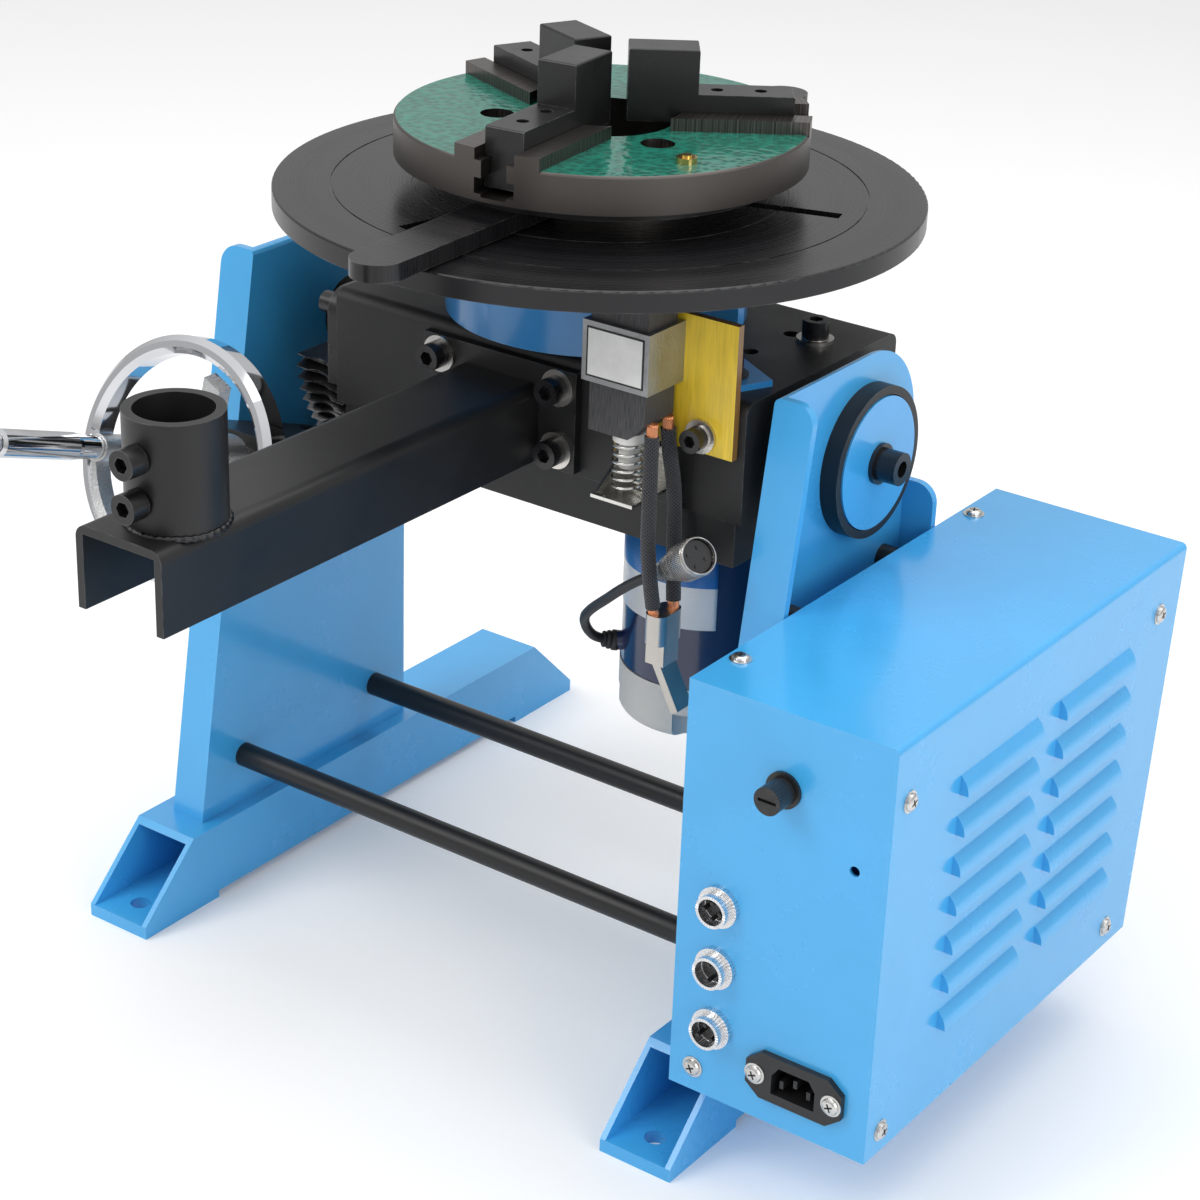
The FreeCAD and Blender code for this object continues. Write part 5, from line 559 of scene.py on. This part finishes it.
def braid_finish():
    """Black textile braid: two sets of yarns crossing round the lead."""
    made = Finish("black braid", specular=0.3)
    made.shader.inputs["Sheen Weight"].default_value = 0.25
    x, y, z = split(made.tree, made.place)
    side = made.maths("MULTIPLY", made.maths("ADD", x, y), 2600.0)
    rise = made.maths("MULTIPLY", z, 3600.0)
    left = made.maths("SINE", made.maths("ADD", rise, side))
    right = made.maths("SINE", made.maths("SUBTRACT", rise, side))
    yarns = made.between(made.maths("MAXIMUM", left, right), -0.2, 1.0)
    made.feed(base_color=made.blended(yarns, (0.006, 0.006, 0.007, 1.0),
                                      (0.045, 0.045, 0.05, 1.0)),
              roughness=made.between(yarns, 0.0, 1.0, 0.85, 0.6))
    return made.relief(yarns, 0.0003).material


def motor_label_finish():
    """Blank white sticker with a blue band along its top."""
    made = Finish("motor label", coat=0.2)
    z = split(made.tree, made.place)[2]
    band = made.maths("GREATER_THAN", z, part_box("motor_case")[1].z - 0.0315)
    paper = made.effect("mottle", scale=50.0, dark=(0.70, 0.71, 0.72, 1.0),
                        light=(0.80, 0.80, 0.80, 1.0), low_roughness=0.28, high_roughness=0.38)
    made.feed(base_color=made.blended(band, paper["Colour"], (0.02, 0.16, 0.48, 1.0)),
              roughness=paper["Roughness"])
    return made.material


def board_finish():
    """Circuit board and parts: solder mask with a faint copper pattern under it."""
    made = Finish("circuit board", coat=0.4)
    tracks = add_node(made.tree, "ShaderNodeTexBrick",
                      {"Vector": made.place, "Scale": 120.0, "Color1": (0.01, 0.09, 0.03, 1.0),
                       "Color2": (0.02, 0.14, 0.05, 1.0), "Mortar": (0.05, 0.26, 0.09, 1.0)})
    made.feed(base_color=tracks.outputs["Color"])
    made.feed(normal=made.effect("peel", scale=900.0, depth=0.00004)["Normal"])
    return made.material


def finished(mesh, name, material, body, smooth=True):
    """A bmesh made into a piece with its slot's finish, riding on a body if one is given."""
    bmesh.ops.recalc_face_normals(mesh, faces=mesh.faces)
    data = bpy.data.meshes.new(name)
    mesh.to_mesh(data)
    mesh.free()
    for face in data.polygons:
        face.use_smooth = smooth
    for one in material if isinstance(material, list) else [material]:
        data.materials.append(one)
    made = bpy.data.objects.new(name, data)
    bpy.context.scene.collection.objects.link(made)
    if body:
        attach(made, body)
    return made


def lathe(mesh, profile, steps, closed=True):
    """Turns a profile of radii and heights, in metres, round the Z axis at the origin."""
    before = set(mesh.verts)
    verts = [mesh.verts.new((radius, 0, height)) for radius, height in profile]
    ends = verts[1:] + verts[:1] if closed else verts[1:]
    edges = [mesh.edges.new(pair) for pair in zip(verts, ends)]
    bmesh.ops.spin(mesh, geom=[*verts, *edges], cent=(0, 0, 0), axis=(0, 0, 1), dvec=(0, 0, 0),
                   angle=FULL_TURN, steps=steps, use_merge=True, use_duplicate=False)
    return before


def facing(direction):
    """The turn that carries +Z to a direction."""
    return Vector((0, 0, 1)).rotation_difference(direction).to_matrix().to_4x4()


def dress(material, *nodes):
    """Gives CAD nodes one finish."""
    for name in nodes:
        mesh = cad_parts[name].data
        mesh.materials.clear()
        mesh.materials.append(material)


def add_bundle(mesh, start, heading, radius, count):
    """Thin strands twisted together, running out of a lead's end."""
    side = heading.orthogonal().normalized()
    turn = facing(heading)
    for index in range(count * 2):
        outward = Matrix.Rotation(math.pi * index / count, 3, heading) @ side
        place = Matrix.Translation(start + outward * radius) @ turn
        ring = bmesh.ops.create_circle(mesh, cap_ends=True, radius=STRAND_RADIUS, segments=6,
                                       matrix=place)
        faces = list({face for vert in ring["verts"] for face in vert.link_faces})
        edges = list({edge for vert in ring["verts"] for edge in vert.link_edges})
        bmesh.ops.spin(mesh, geom=[*ring["verts"], *edges, *faces], cent=start, axis=heading,
                       dvec=heading * 0.0016, angle=math.radians(55), steps=5,
                       use_duplicate=False)


class POSITIONER_OT_effects(bpy.types.Operator):
    """Makes the node groups that the finishes share"""

    bl_idname = "positioner.effects"
    bl_label = "Shared effects"

    def execute(self, context):
        for make in (make_mottle, make_peel, make_turned, make_streaks, make_rubbed_edges_and_highlight,
                     make_knurl):
            make()
        return {"FINISHED"}


class POSITIONER_OT_stage(bpy.types.Operator):
    """Sets up the floor, the soft studio light and the camera"""

    bl_idname = "positioner.stage"
    bl_label = "Stage"

    def execute(self, context):
        scene = context.scene
        self.add_floor(scene)
        self.add_world(scene)
        for name, place, power, size in (("key softbox", (-0.9, -1.5, 1.9), 22.0, 1.3),
                                         ("top softbox", (0.3, 0.4, 2.1), 18.0, 1.8),
                                         ("side softbox", (1.9, -0.5, 0.9), 9.0, 1.0)):
            self.add_light(scene, name, place, power, size)
        self.add_camera(scene)
        scene.view_settings.view_transform = "Standard"
        return {"FINISHED"}

    def add_floor(self, scene):
        mesh = bmesh.new()
        bmesh.ops.create_grid(mesh, x_segments=8, y_segments=8,
                              size=scene.positioner_sizes.floor_size / 2)
        data = bpy.data.meshes.new("floor")
        mesh.to_mesh(data)
        mesh.free()
        floor = bpy.data.objects.new("floor", data)
        made = Finish("floor sheet", roughness=0.9, specular=0.0)
        paper = made.effect("mottle", scale=2.0, dark=(0.955, 0.955, 0.955, 1.0),
                            light=(0.97, 0.97, 0.97, 1.0), low_roughness=0.85, high_roughness=0.95)
        made.feed(base_color=paper["Colour"], roughness=paper["Roughness"])
        made.shader.inputs["Emission Color"].default_value = WHITE
        seen = made.tree.nodes.new("ShaderNodeLightPath").outputs["Is Camera Ray"]
        made.feed(emission_strength=made.maths("MULTIPLY", seen, 0.09))
        data.materials.append(made.material)
        scene.collection.objects.link(floor)

    def add_world(self, scene):
        world = bpy.data.worlds.new("studio")
        world.use_nodes = True
        tree = world.node_tree
        background = tree.nodes["Background"]
        rays = tree.nodes.new("ShaderNodeLightPath").outputs
        seen = maths(tree, "ADD", rays["Is Camera Ray"], rays["Is Transmission Ray"])
        direction = add_node(tree, "ShaderNodeTexCoord").outputs["Generated"]
        height = between(tree, split(tree, direction)[2], -0.3, 0.8, 0.35, 0.95)
        lit = maths(tree, "MULTIPLY", height, rays["Is Glossy Ray"])
        plain = maths(tree, "MULTIPLY", maths(tree, "SUBTRACT", 1.0, rays["Is Glossy Ray"]), 0.62)
        total = maths(tree, "ADD", maths(tree, "ADD", lit, plain), seen)
        strength = maths(tree, "MINIMUM", total, 1.0)
        background.inputs["Color"].default_value = WHITE
        tree.links.new(strength, background.inputs["Strength"])
        scene.world = world

    def add_light(self, scene, name, place, power, size):
        lamp = bpy.data.lights.new(name, "AREA")
        lamp.energy = power
        lamp.size = size
        made = bpy.data.objects.new(name, lamp)
        aim = Vector((0.05, -0.03, 0.22)) - Vector(place)
        made.rotation_euler = aim.to_track_quat("-Z", "Y").to_euler()
        made.location = place
        scene.collection.objects.link(made)

    def add_camera(self, scene):
        azimuth, elevation, roll = 0.6118528, 0.4396879, 0.0366399
        back = Vector((math.sin(azimuth) * math.cos(elevation),
                       -math.cos(azimuth) * math.cos(elevation), math.sin(elevation)))
        right = Vector((math.cos(azimuth), math.sin(azimuth), 0.0))
        up = back.cross(right)
        across = math.cos(roll) * right + math.sin(roll) * up
        upward = math.cos(roll) * up - math.sin(roll) * right
        data = bpy.data.cameras.new("camera")
        data.lens = 84.518
        data.sensor_width = 36.0
        data.clip_end = 50.0
        camera = bpy.data.objects.new("camera", data)
        camera.matrix_world = (Matrix.Translation((0.764876, -1.083571, 0.798176))
                               @ Matrix((across, upward, back)).transposed().to_4x4())
        scene.collection.objects.link(camera)
        scene.camera = camera


def add_cord(name, points, radius, material, body, node):
    """A smooth cord through its control points."""
    curve = bpy.data.curves.new(name, "CURVE")
    curve.dimensions = "3D"
    curve.bevel_depth = radius
    curve.bevel_resolution = 5
    curve.resolution_u = 16
    curve.use_fill_caps = True
    spline = curve.splines.new("NURBS")
    spline.points.add(len(points) - 1)
    for point, place in zip(spline.points, points):
        point.co = (*(Vector(place) * MM), 1.0)
    spline.order_u = 3
    spline.use_endpoint_u = True
    curve.materials.append(material)
    made = bpy.data.objects.new(name, curve)
    bpy.context.scene.collection.objects.link(made)
    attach(made, body)
    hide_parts(node)
    return made


class POSITIONER_OT_cords(bpy.types.Operator):
    """Makes the motor's cable and the two braided earth leads"""

    bl_idname = "positioner.cords"
    bl_label = "Cable and leads"

    def execute(self, context):
        sizes = context.scene.positioner_sizes
        braid = braid_finish()
        rubber = plastic("cable jacket", (0.012, 0.012, 0.013, 1.0), (0.4, 0.5))
        add_cord("motor_cable_run", CABLE_PATH, sizes.cable_radius, rubber, "tilt_head",
                 "motor_cable")
        add_cord("front_lead_braid", FRONT_LEAD_PATH, sizes.lead_radius, braid, "earth_brush",
                 "front_brush_lead")
        add_cord("rear_lead_braid", REAR_LEAD_PATH, sizes.lead_radius, braid, "earth_brush",
                 "rear_brush_lead")
        return {"FINISHED"}


class POSITIONER_OT_labels(bpy.types.Operator):
    """Makes the blank sticker on the motor and the blank plate on the brush sleeve"""

    bl_idname = "positioner.labels"
    bl_label = "Blank labels"

    def execute(self, context):
        thick = context.scene.positioner_sizes.label_thickness
        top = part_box("motor_case")[1].z
        start, sweep = math.radians(-150), math.radians(103)
        mesh = bmesh.new()
        begin = MOTOR_AXIS + Vector((math.cos(start), math.sin(start), 0)) * STICKER_RADIUS
        ends = [mesh.verts.new((begin.x, begin.y, top - drop)) for drop in (0.0535, 0.009)]
        edge = mesh.edges.new(ends)
        bmesh.ops.spin(mesh, geom=[*ends, edge], cent=MOTOR_AXIS, axis=(0, 0, 1), dvec=(0, 0, 0),
                       angle=sweep, steps=40, use_duplicate=False)
        bmesh.ops.recalc_face_normals(mesh, faces=mesh.faces)
        bmesh.ops.solidify(mesh, geom=mesh.faces[:], thickness=-thick)
        finished(mesh, "motor_label", motor_label_finish(), "tilt_head")

        low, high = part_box("brush_sleeve")
        mesh = bmesh.new()
        plate = Matrix.Translation(((low.x + high.x) / 2, low.y, (low.z + high.z) / 2)) \
            @ Matrix.Rotation(math.radians(90), 4, "X") \
            @ Matrix.Diagonal(((high.x - low.x) * 0.86, (high.z - low.z) * 0.82, 1, 1))
        bmesh.ops.create_grid(mesh, x_segments=1, y_segments=1, size=0.5, matrix=plate)
        raised = bmesh.ops.extrude_face_region(mesh, geom=mesh.faces[:])
        moved = [part for part in raised["geom"] if isinstance(part, bmesh.types.BMVert)]
        bmesh.ops.translate(mesh, verts=moved, vec=(0, -thick, 0))
        front = min(mesh.faces, key=lambda face: face.calc_center_median().y)
        bmesh.ops.inset_region(mesh, faces=[front], thickness=0.0012)
        front.material_index = 1
        paper = plastic("blank plate", (0.72, 0.72, 0.71, 1.0))
        border = plastic("plate border", (0.02, 0.02, 0.02, 1.0))
        finished(mesh, "sleeve_plate", [border, paper], "tilt_head", smooth=False)
        return {"FINISHED"}


class POSITIONER_OT_weld_beads(bpy.types.Operator):
    """Makes the rippled weld bead between the torch collar and the arm"""

    bl_idname = "positioner.weld_beads"
    bl_label = "Weld bead"

    def execute(self, context):
        radius = context.scene.positioner_sizes.bead_radius
        low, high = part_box("torch_collar")
        centre = Vector(((low.x + high.x) / 2, COLLAR_CENTRE_Y, low.z))
        mesh = bmesh.new()
        matrix = (Matrix.Translation(centre + Vector((COLLAR_OUTER_RADIUS, 0, 0)))
                  @ Matrix.Rotation(math.pi / 2, 4, "X"))
        ring = bmesh.ops.create_circle(mesh, cap_ends=False, radius=radius, segments=10,
                                       matrix=matrix)
        edges = list({edge for vert in ring["verts"] for edge in vert.link_edges})
        bmesh.ops.spin(mesh, geom=[*ring["verts"], *edges], cent=centre, axis=(0, 0, 1),
                       dvec=(0, 0, 0), angle=FULL_TURN, steps=180, use_merge=True,
                       use_duplicate=False)
        for vert in mesh.verts:
            away = vert.co - centre
            angle = math.atan2(away.y, away.x)
            core = centre + Vector((math.cos(angle), math.sin(angle), 0)) * COLLAR_OUTER_RADIUS
            swell = 1 + 0.16 * math.sin(angle * 36) + 0.08 * math.sin(angle * 7 + 1)
            vert.co = core + (vert.co - core) * swell
        bead = bare_metal("painted weld", (0.05, 0.05, 0.052, 1.0), (0.3, 0.45))
        finished(mesh, "collar_weld", bead, "tilt_head")
        return {"FINISHED"}


class POSITIONER_OT_copper_strands(bpy.types.Operator):
    """Makes the bare, twisted strands where the leads enter the brush and the lug"""

    bl_idname = "positioner.copper_strands"
    bl_label = "Copper strands"

    def execute(self, context):
        sizes = context.scene.positioner_sizes
        mesh = bmesh.new()
        for path in (FRONT_LEAD_PATH, REAR_LEAD_PATH):
            for near, far in ((path[1], path[0]), (path[3], path[4])):
                heading = (Vector(far) - Vector(near)).normalized()
                start = Vector(far) * MM - heading * 0.002
                add_bundle(mesh, start, heading, sizes.lead_radius * 0.62, sizes.strand_count)
                add_bundle(mesh, start, heading, sizes.lead_radius * 0.3, sizes.strand_count // 2)
        copper = bare_metal("copper strand", (0.85, 0.36, 0.18, 1.0), (0.25, 0.4))
        finished(mesh, "copper_strands", copper, "earth_brush")
        return {"FINISHED"}


class POSITIONER_OT_earth_spring(bpy.types.Operator):
    """Makes the earth brush's spring, on which the brush slides down, as one piece in place of the
    CAD part
    """

    bl_idname = "positioner.earth_spring"
    bl_label = "Earth spring"

    def execute(self, context):
        mesh = bmesh.new()
        mesh.from_mesh(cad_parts["brush_spring"].data)
        bmesh.ops.remove_doubles(mesh, verts=mesh.verts, dist=MERGE)
        steel = bare_metal("spring steel", (0.66, 0.65, 0.62, 1.0), (0.2, 0.3))
        made = finished(mesh, "earth_spring", steel, None)
        made.data.set_sharp_from_angle(angle=math.radians(40))
        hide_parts("brush_spring")
        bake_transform(made)
        return {"FINISHED"}


class POSITIONER_OT_box_screws(bpy.types.Operator):
    """Gives the control box its domed screws with crossed slots and spring washers"""

    bl_idname = "positioner.box_screws"
    bl_label = "Box screws"

    def execute(self, context):
        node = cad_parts["frame_fasteners"]
        mesh = bmesh.new()
        mesh.from_mesh(node.data)
        bmesh.ops.remove_doubles(mesh, verts=mesh.verts, dist=MERGE)
        spare = [vert for vert in mesh.verts if vert.co.x > BOX_SIDE_X]
        places = []
        while spare:
            part = self.linked(spare[0])
            low = Vector(min(vert.co[axis] for vert in part) for axis in range(3))
            high = Vector(max(vert.co[axis] for vert in part) for axis in range(3))
            places.append((low, high))
            bmesh.ops.delete(mesh, geom=list(part), context="VERTS")
            spare = [vert for vert in spare if vert.is_valid]
        for low, high in places:
            centre = (low + high) / 2
            across = min(range(3), key=lambda part: high[part] - low[part])
            axis = Vector((0, 0, 0))
            axis[across] = -1 if across == 1 else 1
            outer = low if across == 1 else high
            centre[across] = outer[across] - axis[across] * SCREW_HEAD
            self.add_screw(mesh, centre, axis)
        low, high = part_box("panel_sockets")
        width = high.x - low.x
        pitch = (high.z - low.z - width) / 2
        self.add_screw(mesh, Vector(((low.x + high.x) / 2 - 0.0096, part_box("box_base")[0].y,
                                     low.z + width / 2 - 0.8 * pitch)), Vector((0, -1, 0)))
        steel = bare_metal("bright screw steel", (0.66, 0.65, 0.63, 1.0), (0.18, 0.28))
        dark = bare_metal("screw slot shadow", (0.05, 0.05, 0.05, 1.0), (0.5, 0.6))
        made = finished(mesh, "frame_screws", [steel, dark], "frame", smooth=False)
        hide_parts("frame_fasteners")
        return {"FINISHED"}

    def linked(self, vert):
        """Every vertex that is joined to this one."""
        found, waiting = {vert}, [vert]
        while waiting:
            for edge in waiting.pop().link_edges:
                for other in edge.verts:
                    if other not in found:
                        found.add(other)
                        waiting.append(other)
        return found

    def add_screw(self, mesh, place, axis):
        """A washer, a domed head and a crossed slot standing on a face."""
        turn = Matrix.Translation(place) @ facing(axis)
        profile = [(0.0, 0.0), (0.0052, 0.0), (0.0052, 0.0006), (0.0041, 0.0007), (0.0041, 0.0013),
                   (0.0037, 0.0020), (0.0028, 0.0025), (0.0022, 0.0026), (0.0, 0.0026)]
        before = lathe(mesh, profile, 28, closed=False)
        made = [vert for vert in mesh.verts if vert not in before]
        bmesh.ops.remove_doubles(mesh, verts=made, dist=MERGE)
        made = [vert for vert in mesh.verts if vert not in before]
        bmesh.ops.transform(mesh, matrix=turn, verts=made)
        for angle in (0.4, 0.4 + math.pi / 2):
            bar = bmesh.ops.create_cube(mesh, size=1.0)["verts"]
            shape = (turn @ Matrix.Rotation(angle, 4, "Z") @ Matrix.Translation((0, 0, 0.0025))
                     @ Matrix.Diagonal((0.0042, 0.0008, 0.0003, 1)))
            bmesh.ops.transform(mesh, matrix=shape, verts=bar)
            for face in {face for vert in bar for face in vert.link_faces}:
                face.material_index = 1


class POSITIONER_OT_motor_plug(bpy.types.Operator):
    """Makes the plug's shell: cable clamp, nut, body and knurled ring"""

    bl_idname = "positioner.motor_plug"
    bl_label = "Motor plug"

    def execute(self, context):
        start = Vector(PLUG_BACK) * MM
        heading = (Vector(PLUG_FACE) - Vector(PLUG_BACK)).normalized()
        turn = facing(heading)
        mesh = bmesh.new()
        profile = [(2.7, -2.5), (4.3, -2.5), (4.7, -2.0), (4.7, 3.4), (4.2, 3.8), (4.2, 4.8),
                   (5.9, 5.0), (5.9, 9.4), (5.2, 9.6), (5.2, 10.6), (6.9, 11.0), (7.1, 11.4),
                   (7.1, 18.2), (6.6, 18.6), (6.6, 19.4), (9.0, 19.8), (9.3, 20.3), (9.3, 32.4),
                   (8.9, 33.0), (8.9, 34.0), (8.6, 34.3), (8.1, 34.3), (8.0, 33.9), (8.0, 21.0),
                   (2.7, 21.0)]
        lathe(mesh, [(radius * MM, height * MM) for radius, height in profile], 72)
        bmesh.ops.transform(mesh, matrix=Matrix.Translation(start) @ turn, verts=mesh.verts)
        shell = knurled("knurled nickel", (0.62, 0.6, 0.57, 1.0), start,
                        tuple(turn.to_quaternion().inverted().to_euler()), 34.0,
                        2200.0, 1.0, (0.14, 0.26))
        made = finished(mesh, "plug_shell", shell, "tilt_head")
        made.data.set_sharp_from_angle(angle=math.radians(32))
        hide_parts("motor_plug")
        return {"FINISHED"}


class POSITIONER_OT_speed_dial(bpy.types.Operator):
    """Makes the plain tick marks round the speed knob"""

    bl_idname = "positioner.speed_dial"
    bl_label = "Speed dial"

    def execute(self, context):
        low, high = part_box("speed_knob")
        centre = (low + high) / 2
        centre.y = REAR_PANEL_Y + (centre.z - REAR_PANEL_Z) * math.tan(REAR_PANEL_LEAN)
        outward = Vector((0, math.cos(REAR_PANEL_LEAN), -math.sin(REAR_PANEL_LEAN)))
        turn = facing(outward)
        mesh = bmesh.new()
        for index in range(11):
            angle = math.radians(-150 + 30 * index)
            tall = 0.0036 if index % 5 == 0 else 0.0024
            bar = bmesh.ops.create_cube(mesh, size=1.0)["verts"]
            shape = (Matrix.Translation(centre + outward * 0.0001) @ turn
                     @ Matrix.Rotation(angle, 4, "Z") @ Matrix.Translation((0, 0.0172, 0))
                     @ Matrix.Diagonal((0.0007, tall, 0.0002, 1)))
            bmesh.ops.transform(mesh, matrix=shape, verts=bar)
        white = plastic("dial paint", (0.75, 0.75, 0.74, 1.0))
        finished(mesh, "speed_dial", white, "frame", smooth=False)
        return {"FINISHED"}


class POSITIONER_OT_cable_boot(bpy.types.Operator):
    """Makes the ribbed, tapered boot where the cable leaves the motor"""

    bl_idname = "positioner.cable_boot"
    bl_label = "Cable boot"

    def execute(self, context):
        start = Vector(CABLE_PATH[0]) * MM
        heading = (Vector(CABLE_PATH[1]) - Vector(CABLE_PATH[0])).normalized()
        mesh = bmesh.new()
        profile = [(0.0026, -0.002), (0.0052, -0.002), (0.0052, 0.0005), (0.0045, 0.0009),
                   (0.0045, 0.0019), (0.0048, 0.0021), (0.0046, 0.0031), (0.0039, 0.0034),
                   (0.0039, 0.0043), (0.0042, 0.0045), (0.0040, 0.0054), (0.0034, 0.0057),
                   (0.0026, 0.0057)]
        lathe(mesh, profile, 36)
        bmesh.ops.transform(mesh, matrix=Matrix.Translation(start) @ facing(heading),
                            verts=mesh.verts)
        rubber = plastic("boot rubber", (0.014, 0.014, 0.014, 1.0), (0.5, 0.6))
        finished(mesh, "cable_boot", rubber, "tilt_head")
        return {"FINISHED"}


class POSITIONER_OT_painted_parts(bpy.types.Operator):
    """Paints the frame, the control box, the housing and the motor"""

    bl_idname = "positioner.painted_parts"
    bl_label = "Painted parts"

    def execute(self, context):
        colours = context.scene.positioner_colours
        dress(painted("sky blue paint", tuple(colours.sky_blue)), "left_foot", "right_foot",
              "left_side_plate", "right_side_plate", "box_base", "box_cover", "tilt_caps")
        dress(painted("housing blue paint", tuple(colours.deep_blue), peel=300.0, depth=0.00012,
                      rough=(0.28, 0.38)), "spindle_housing")
        dress(painted("navy enamel", tuple(colours.navy), rough=(0.18, 0.28)), "motor_case")
        return {"FINISHED"}


class POSITIONER_OT_black_parts(bpy.types.Operator):
    """Coats the black sheet, cast and turned parts"""

    bl_idname = "positioner.black_parts"
    bl_label = "Black parts"

    def execute(self, context):
        dress(textured_black("textured powder coat", 0.0085, (0.42, 0.52), 1500.0, 0.00016),
              "head_cover", "head_base")
        dress(textured_black("satin black", 0.0095, (0.36, 0.46), 900.0, 0.00005), "torch_arm",
              "arm_plate", "torch_collar", "worm_bracket", "crossbars", "box_standoffs",
              "tilt_bushes")
        dress(textured_black("oiled black steel", 0.008, (0.22, 0.36), 500.0, 0.00006, 0.5),
              "sector_gear")
        dress(textured_black("black oxide", 0.009, (0.25, 0.38), 700.0, 0.00004, 0.3),
              "jaw_1", "jaw_2", "jaw_3", "clamp_screws", "chuck_bolts")
        dress(bolt_finish(), "head_bolts")
        return {"FINISHED"}


class POSITIONER_OT_turned_parts(bpy.types.Operator):
    """Gives the turntable, chuck, scroll and shafts their tool marks"""

    bl_idname = "positioner.turned_parts"
    bl_label = "Turned parts"

    def execute(self, context):
        colours = context.scene.positioner_colours
        dress(turned_metal("turned black oxide", SPIN_AXIS, (0.005, 0.005, 0.006, 1.0),
                           (0.02, 0.02, 0.022, 1.0), (0.2, 0.34), metallic=0.25), "turntable",
              "scroll_lever")
        dress(chuck_finish(tuple(colours.chuck_green)), "chuck_body")
        dress(turned_metal("turned spindle steel", SPIN_AXIS, (0.35, 0.35, 0.35, 1.0),
                           (0.6, 0.6, 0.6, 1.0), (0.2, 0.34)), "spindle_shaft", "spindle_gear",
              "spindle_bearings")
        dress(turned_metal("turned pinion steel", MOTOR_AXIS, (0.35, 0.35, 0.35, 1.0),
                           (0.6, 0.6, 0.6, 1.0), (0.2, 0.34)), "motor_pinion")
        trunnion_low, trunnion_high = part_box("right_trunnion")
        dress(turned_metal("turned trunnion steel", (trunnion_low + trunnion_high) / 2,
                           (0.3, 0.3, 0.3, 1.0), (0.55, 0.55, 0.55, 1.0), (0.22, 0.36),
                           turn=(0.0, math.pi / 2, 0.0)), "right_trunnion")
        return {"FINISHED"}


class POSITIONER_OT_bright_parts(bpy.types.Operator):
    """Plates the wheel, grip, spring seat, worm shaft, sockets and small zinc, brass and tinned
    parts, and paints the motor's end cap grey
    """

    bl_idname = "positioner.bright_parts"
    bl_label = "Bright parts"

    def execute(self, context):
        dress(wheel_finish(), "handwheel")
        dress(bare_metal("chromed grip", (0.62, 0.63, 0.65, 1.0), (0.05, 0.1), depth=0.000005),
              "crank_grip")
        dress(bare_metal("nickel plate", (0.66, 0.65, 0.62, 1.0), (0.2, 0.3)), "spring_seat",
              "worm_shaft")
        dress(painted("grey casting", (0.56, 0.56, 0.54, 1.0), rough=(0.38, 0.5), peel=500.0,
                      depth=0.00025, coat=0.0), "motor_end_cap")
        dress(bare_metal("cast zinc", (0.42, 0.43, 0.44, 1.0), (0.38, 0.52), grain=600.0,
                         depth=0.0003), "brush_sleeve")
        dress(bare_metal("tinned lug", (0.5, 0.48, 0.45, 1.0), (0.25, 0.38)), "lead_lug")
        dress(bare_metal("nipple brass", (0.8, 0.56, 0.2, 1.0), (0.15, 0.3)), "grease_nipple")
        dress(socket_finish(), "panel_sockets")
        return {"FINISHED"}


class POSITIONER_OT_plastic_parts(bpy.types.Operator):
    """Gives the controls, inserts, insulation and brush block their finishes"""

    bl_idname = "positioner.plastic_parts"
    bl_label = "Plastic, fibre and carbon parts"

    def execute(self, context):
        colours = context.scene.positioner_colours
        dress(plastic("black moulding", (0.014, 0.014, 0.015, 1.0)), "plug_insert", "fuse_holder",
              "power_inlet", "switch_frames", "direction_rocker")
        dress(plastic("red rocker", (0.45, 0.01, 0.008, 1.0), (0.18, 0.26)), "power_rocker")
        dress(plastic("white nylon", (0.72, 0.71, 0.68, 1.0)), "brush_pin")
        for node, name, count in (("fuse_cap", "ribbed fuse cap", 16.0),
                                  ("speed_knob", "ribbed knob", 24.0)):
            low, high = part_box(node)
            dress(knurled(name, (0.02, 0.02, 0.021, 1.0), (low + high) / 2,
                          (math.pi / 2, 0.0, 0.0), count, 0.0, 0.0, (0.3, 0.42)), node)
        dress(fibre_finish(tuple(colours.fibre)), "insulating_plate")
        dress(graphite_finish(), "carbon_brush")
        dress(board_finish(), "control_electronics")
        return {"FINISHED"}


OPERATORS = (POSITIONER_OT_effects, POSITIONER_OT_stage, POSITIONER_OT_motor_plug,
             POSITIONER_OT_copper_strands, POSITIONER_OT_cords, POSITIONER_OT_labels,
             POSITIONER_OT_weld_beads, POSITIONER_OT_earth_spring, POSITIONER_OT_box_screws,
             POSITIONER_OT_speed_dial, POSITIONER_OT_cable_boot, POSITIONER_OT_painted_parts,
             POSITIONER_OT_black_parts, POSITIONER_OT_turned_parts, POSITIONER_OT_bright_parts,
             POSITIONER_OT_plastic_parts)


class POSITIONER_PT_sidebar(bpy.types.Panel):
    """Sizes, colours and the makers of the positioner's pieces"""

    bl_idname = "POSITIONER_PT_sidebar"
    bl_label = "Welding positioner"
    bl_space_type = "VIEW_3D"
    bl_region_type = "UI"
    bl_category = "Positioner"

    def draw(self, context):
        layout = self.layout
        for group in (context.scene.positioner_sizes, context.scene.positioner_colours):
            for name in group.__annotations__:
                layout.prop(group, name)
        for operator in OPERATORS:
            layout.operator(operator.bl_idname)


CLASSES = (PositionerSizes, PositionerColours, *OPERATORS, POSITIONER_PT_sidebar)


def register():
    for one in CLASSES:
        bpy.utils.register_class(one)
    bpy.types.Scene.positioner_sizes = bpy.props.PointerProperty(type=PositionerSizes)
    bpy.types.Scene.positioner_colours = bpy.props.PointerProperty(type=PositionerColours)


def unregister():
    del bpy.types.Scene.positioner_colours
    del bpy.types.Scene.positioner_sizes
    for one in reversed(CLASSES):
        bpy.utils.unregister_class(one)


def main():
    register()
    for operator in OPERATORS:
        getattr(bpy.ops.positioner, operator.bl_idname.split(".")[1])()


if __name__ == "__main__":
    main()
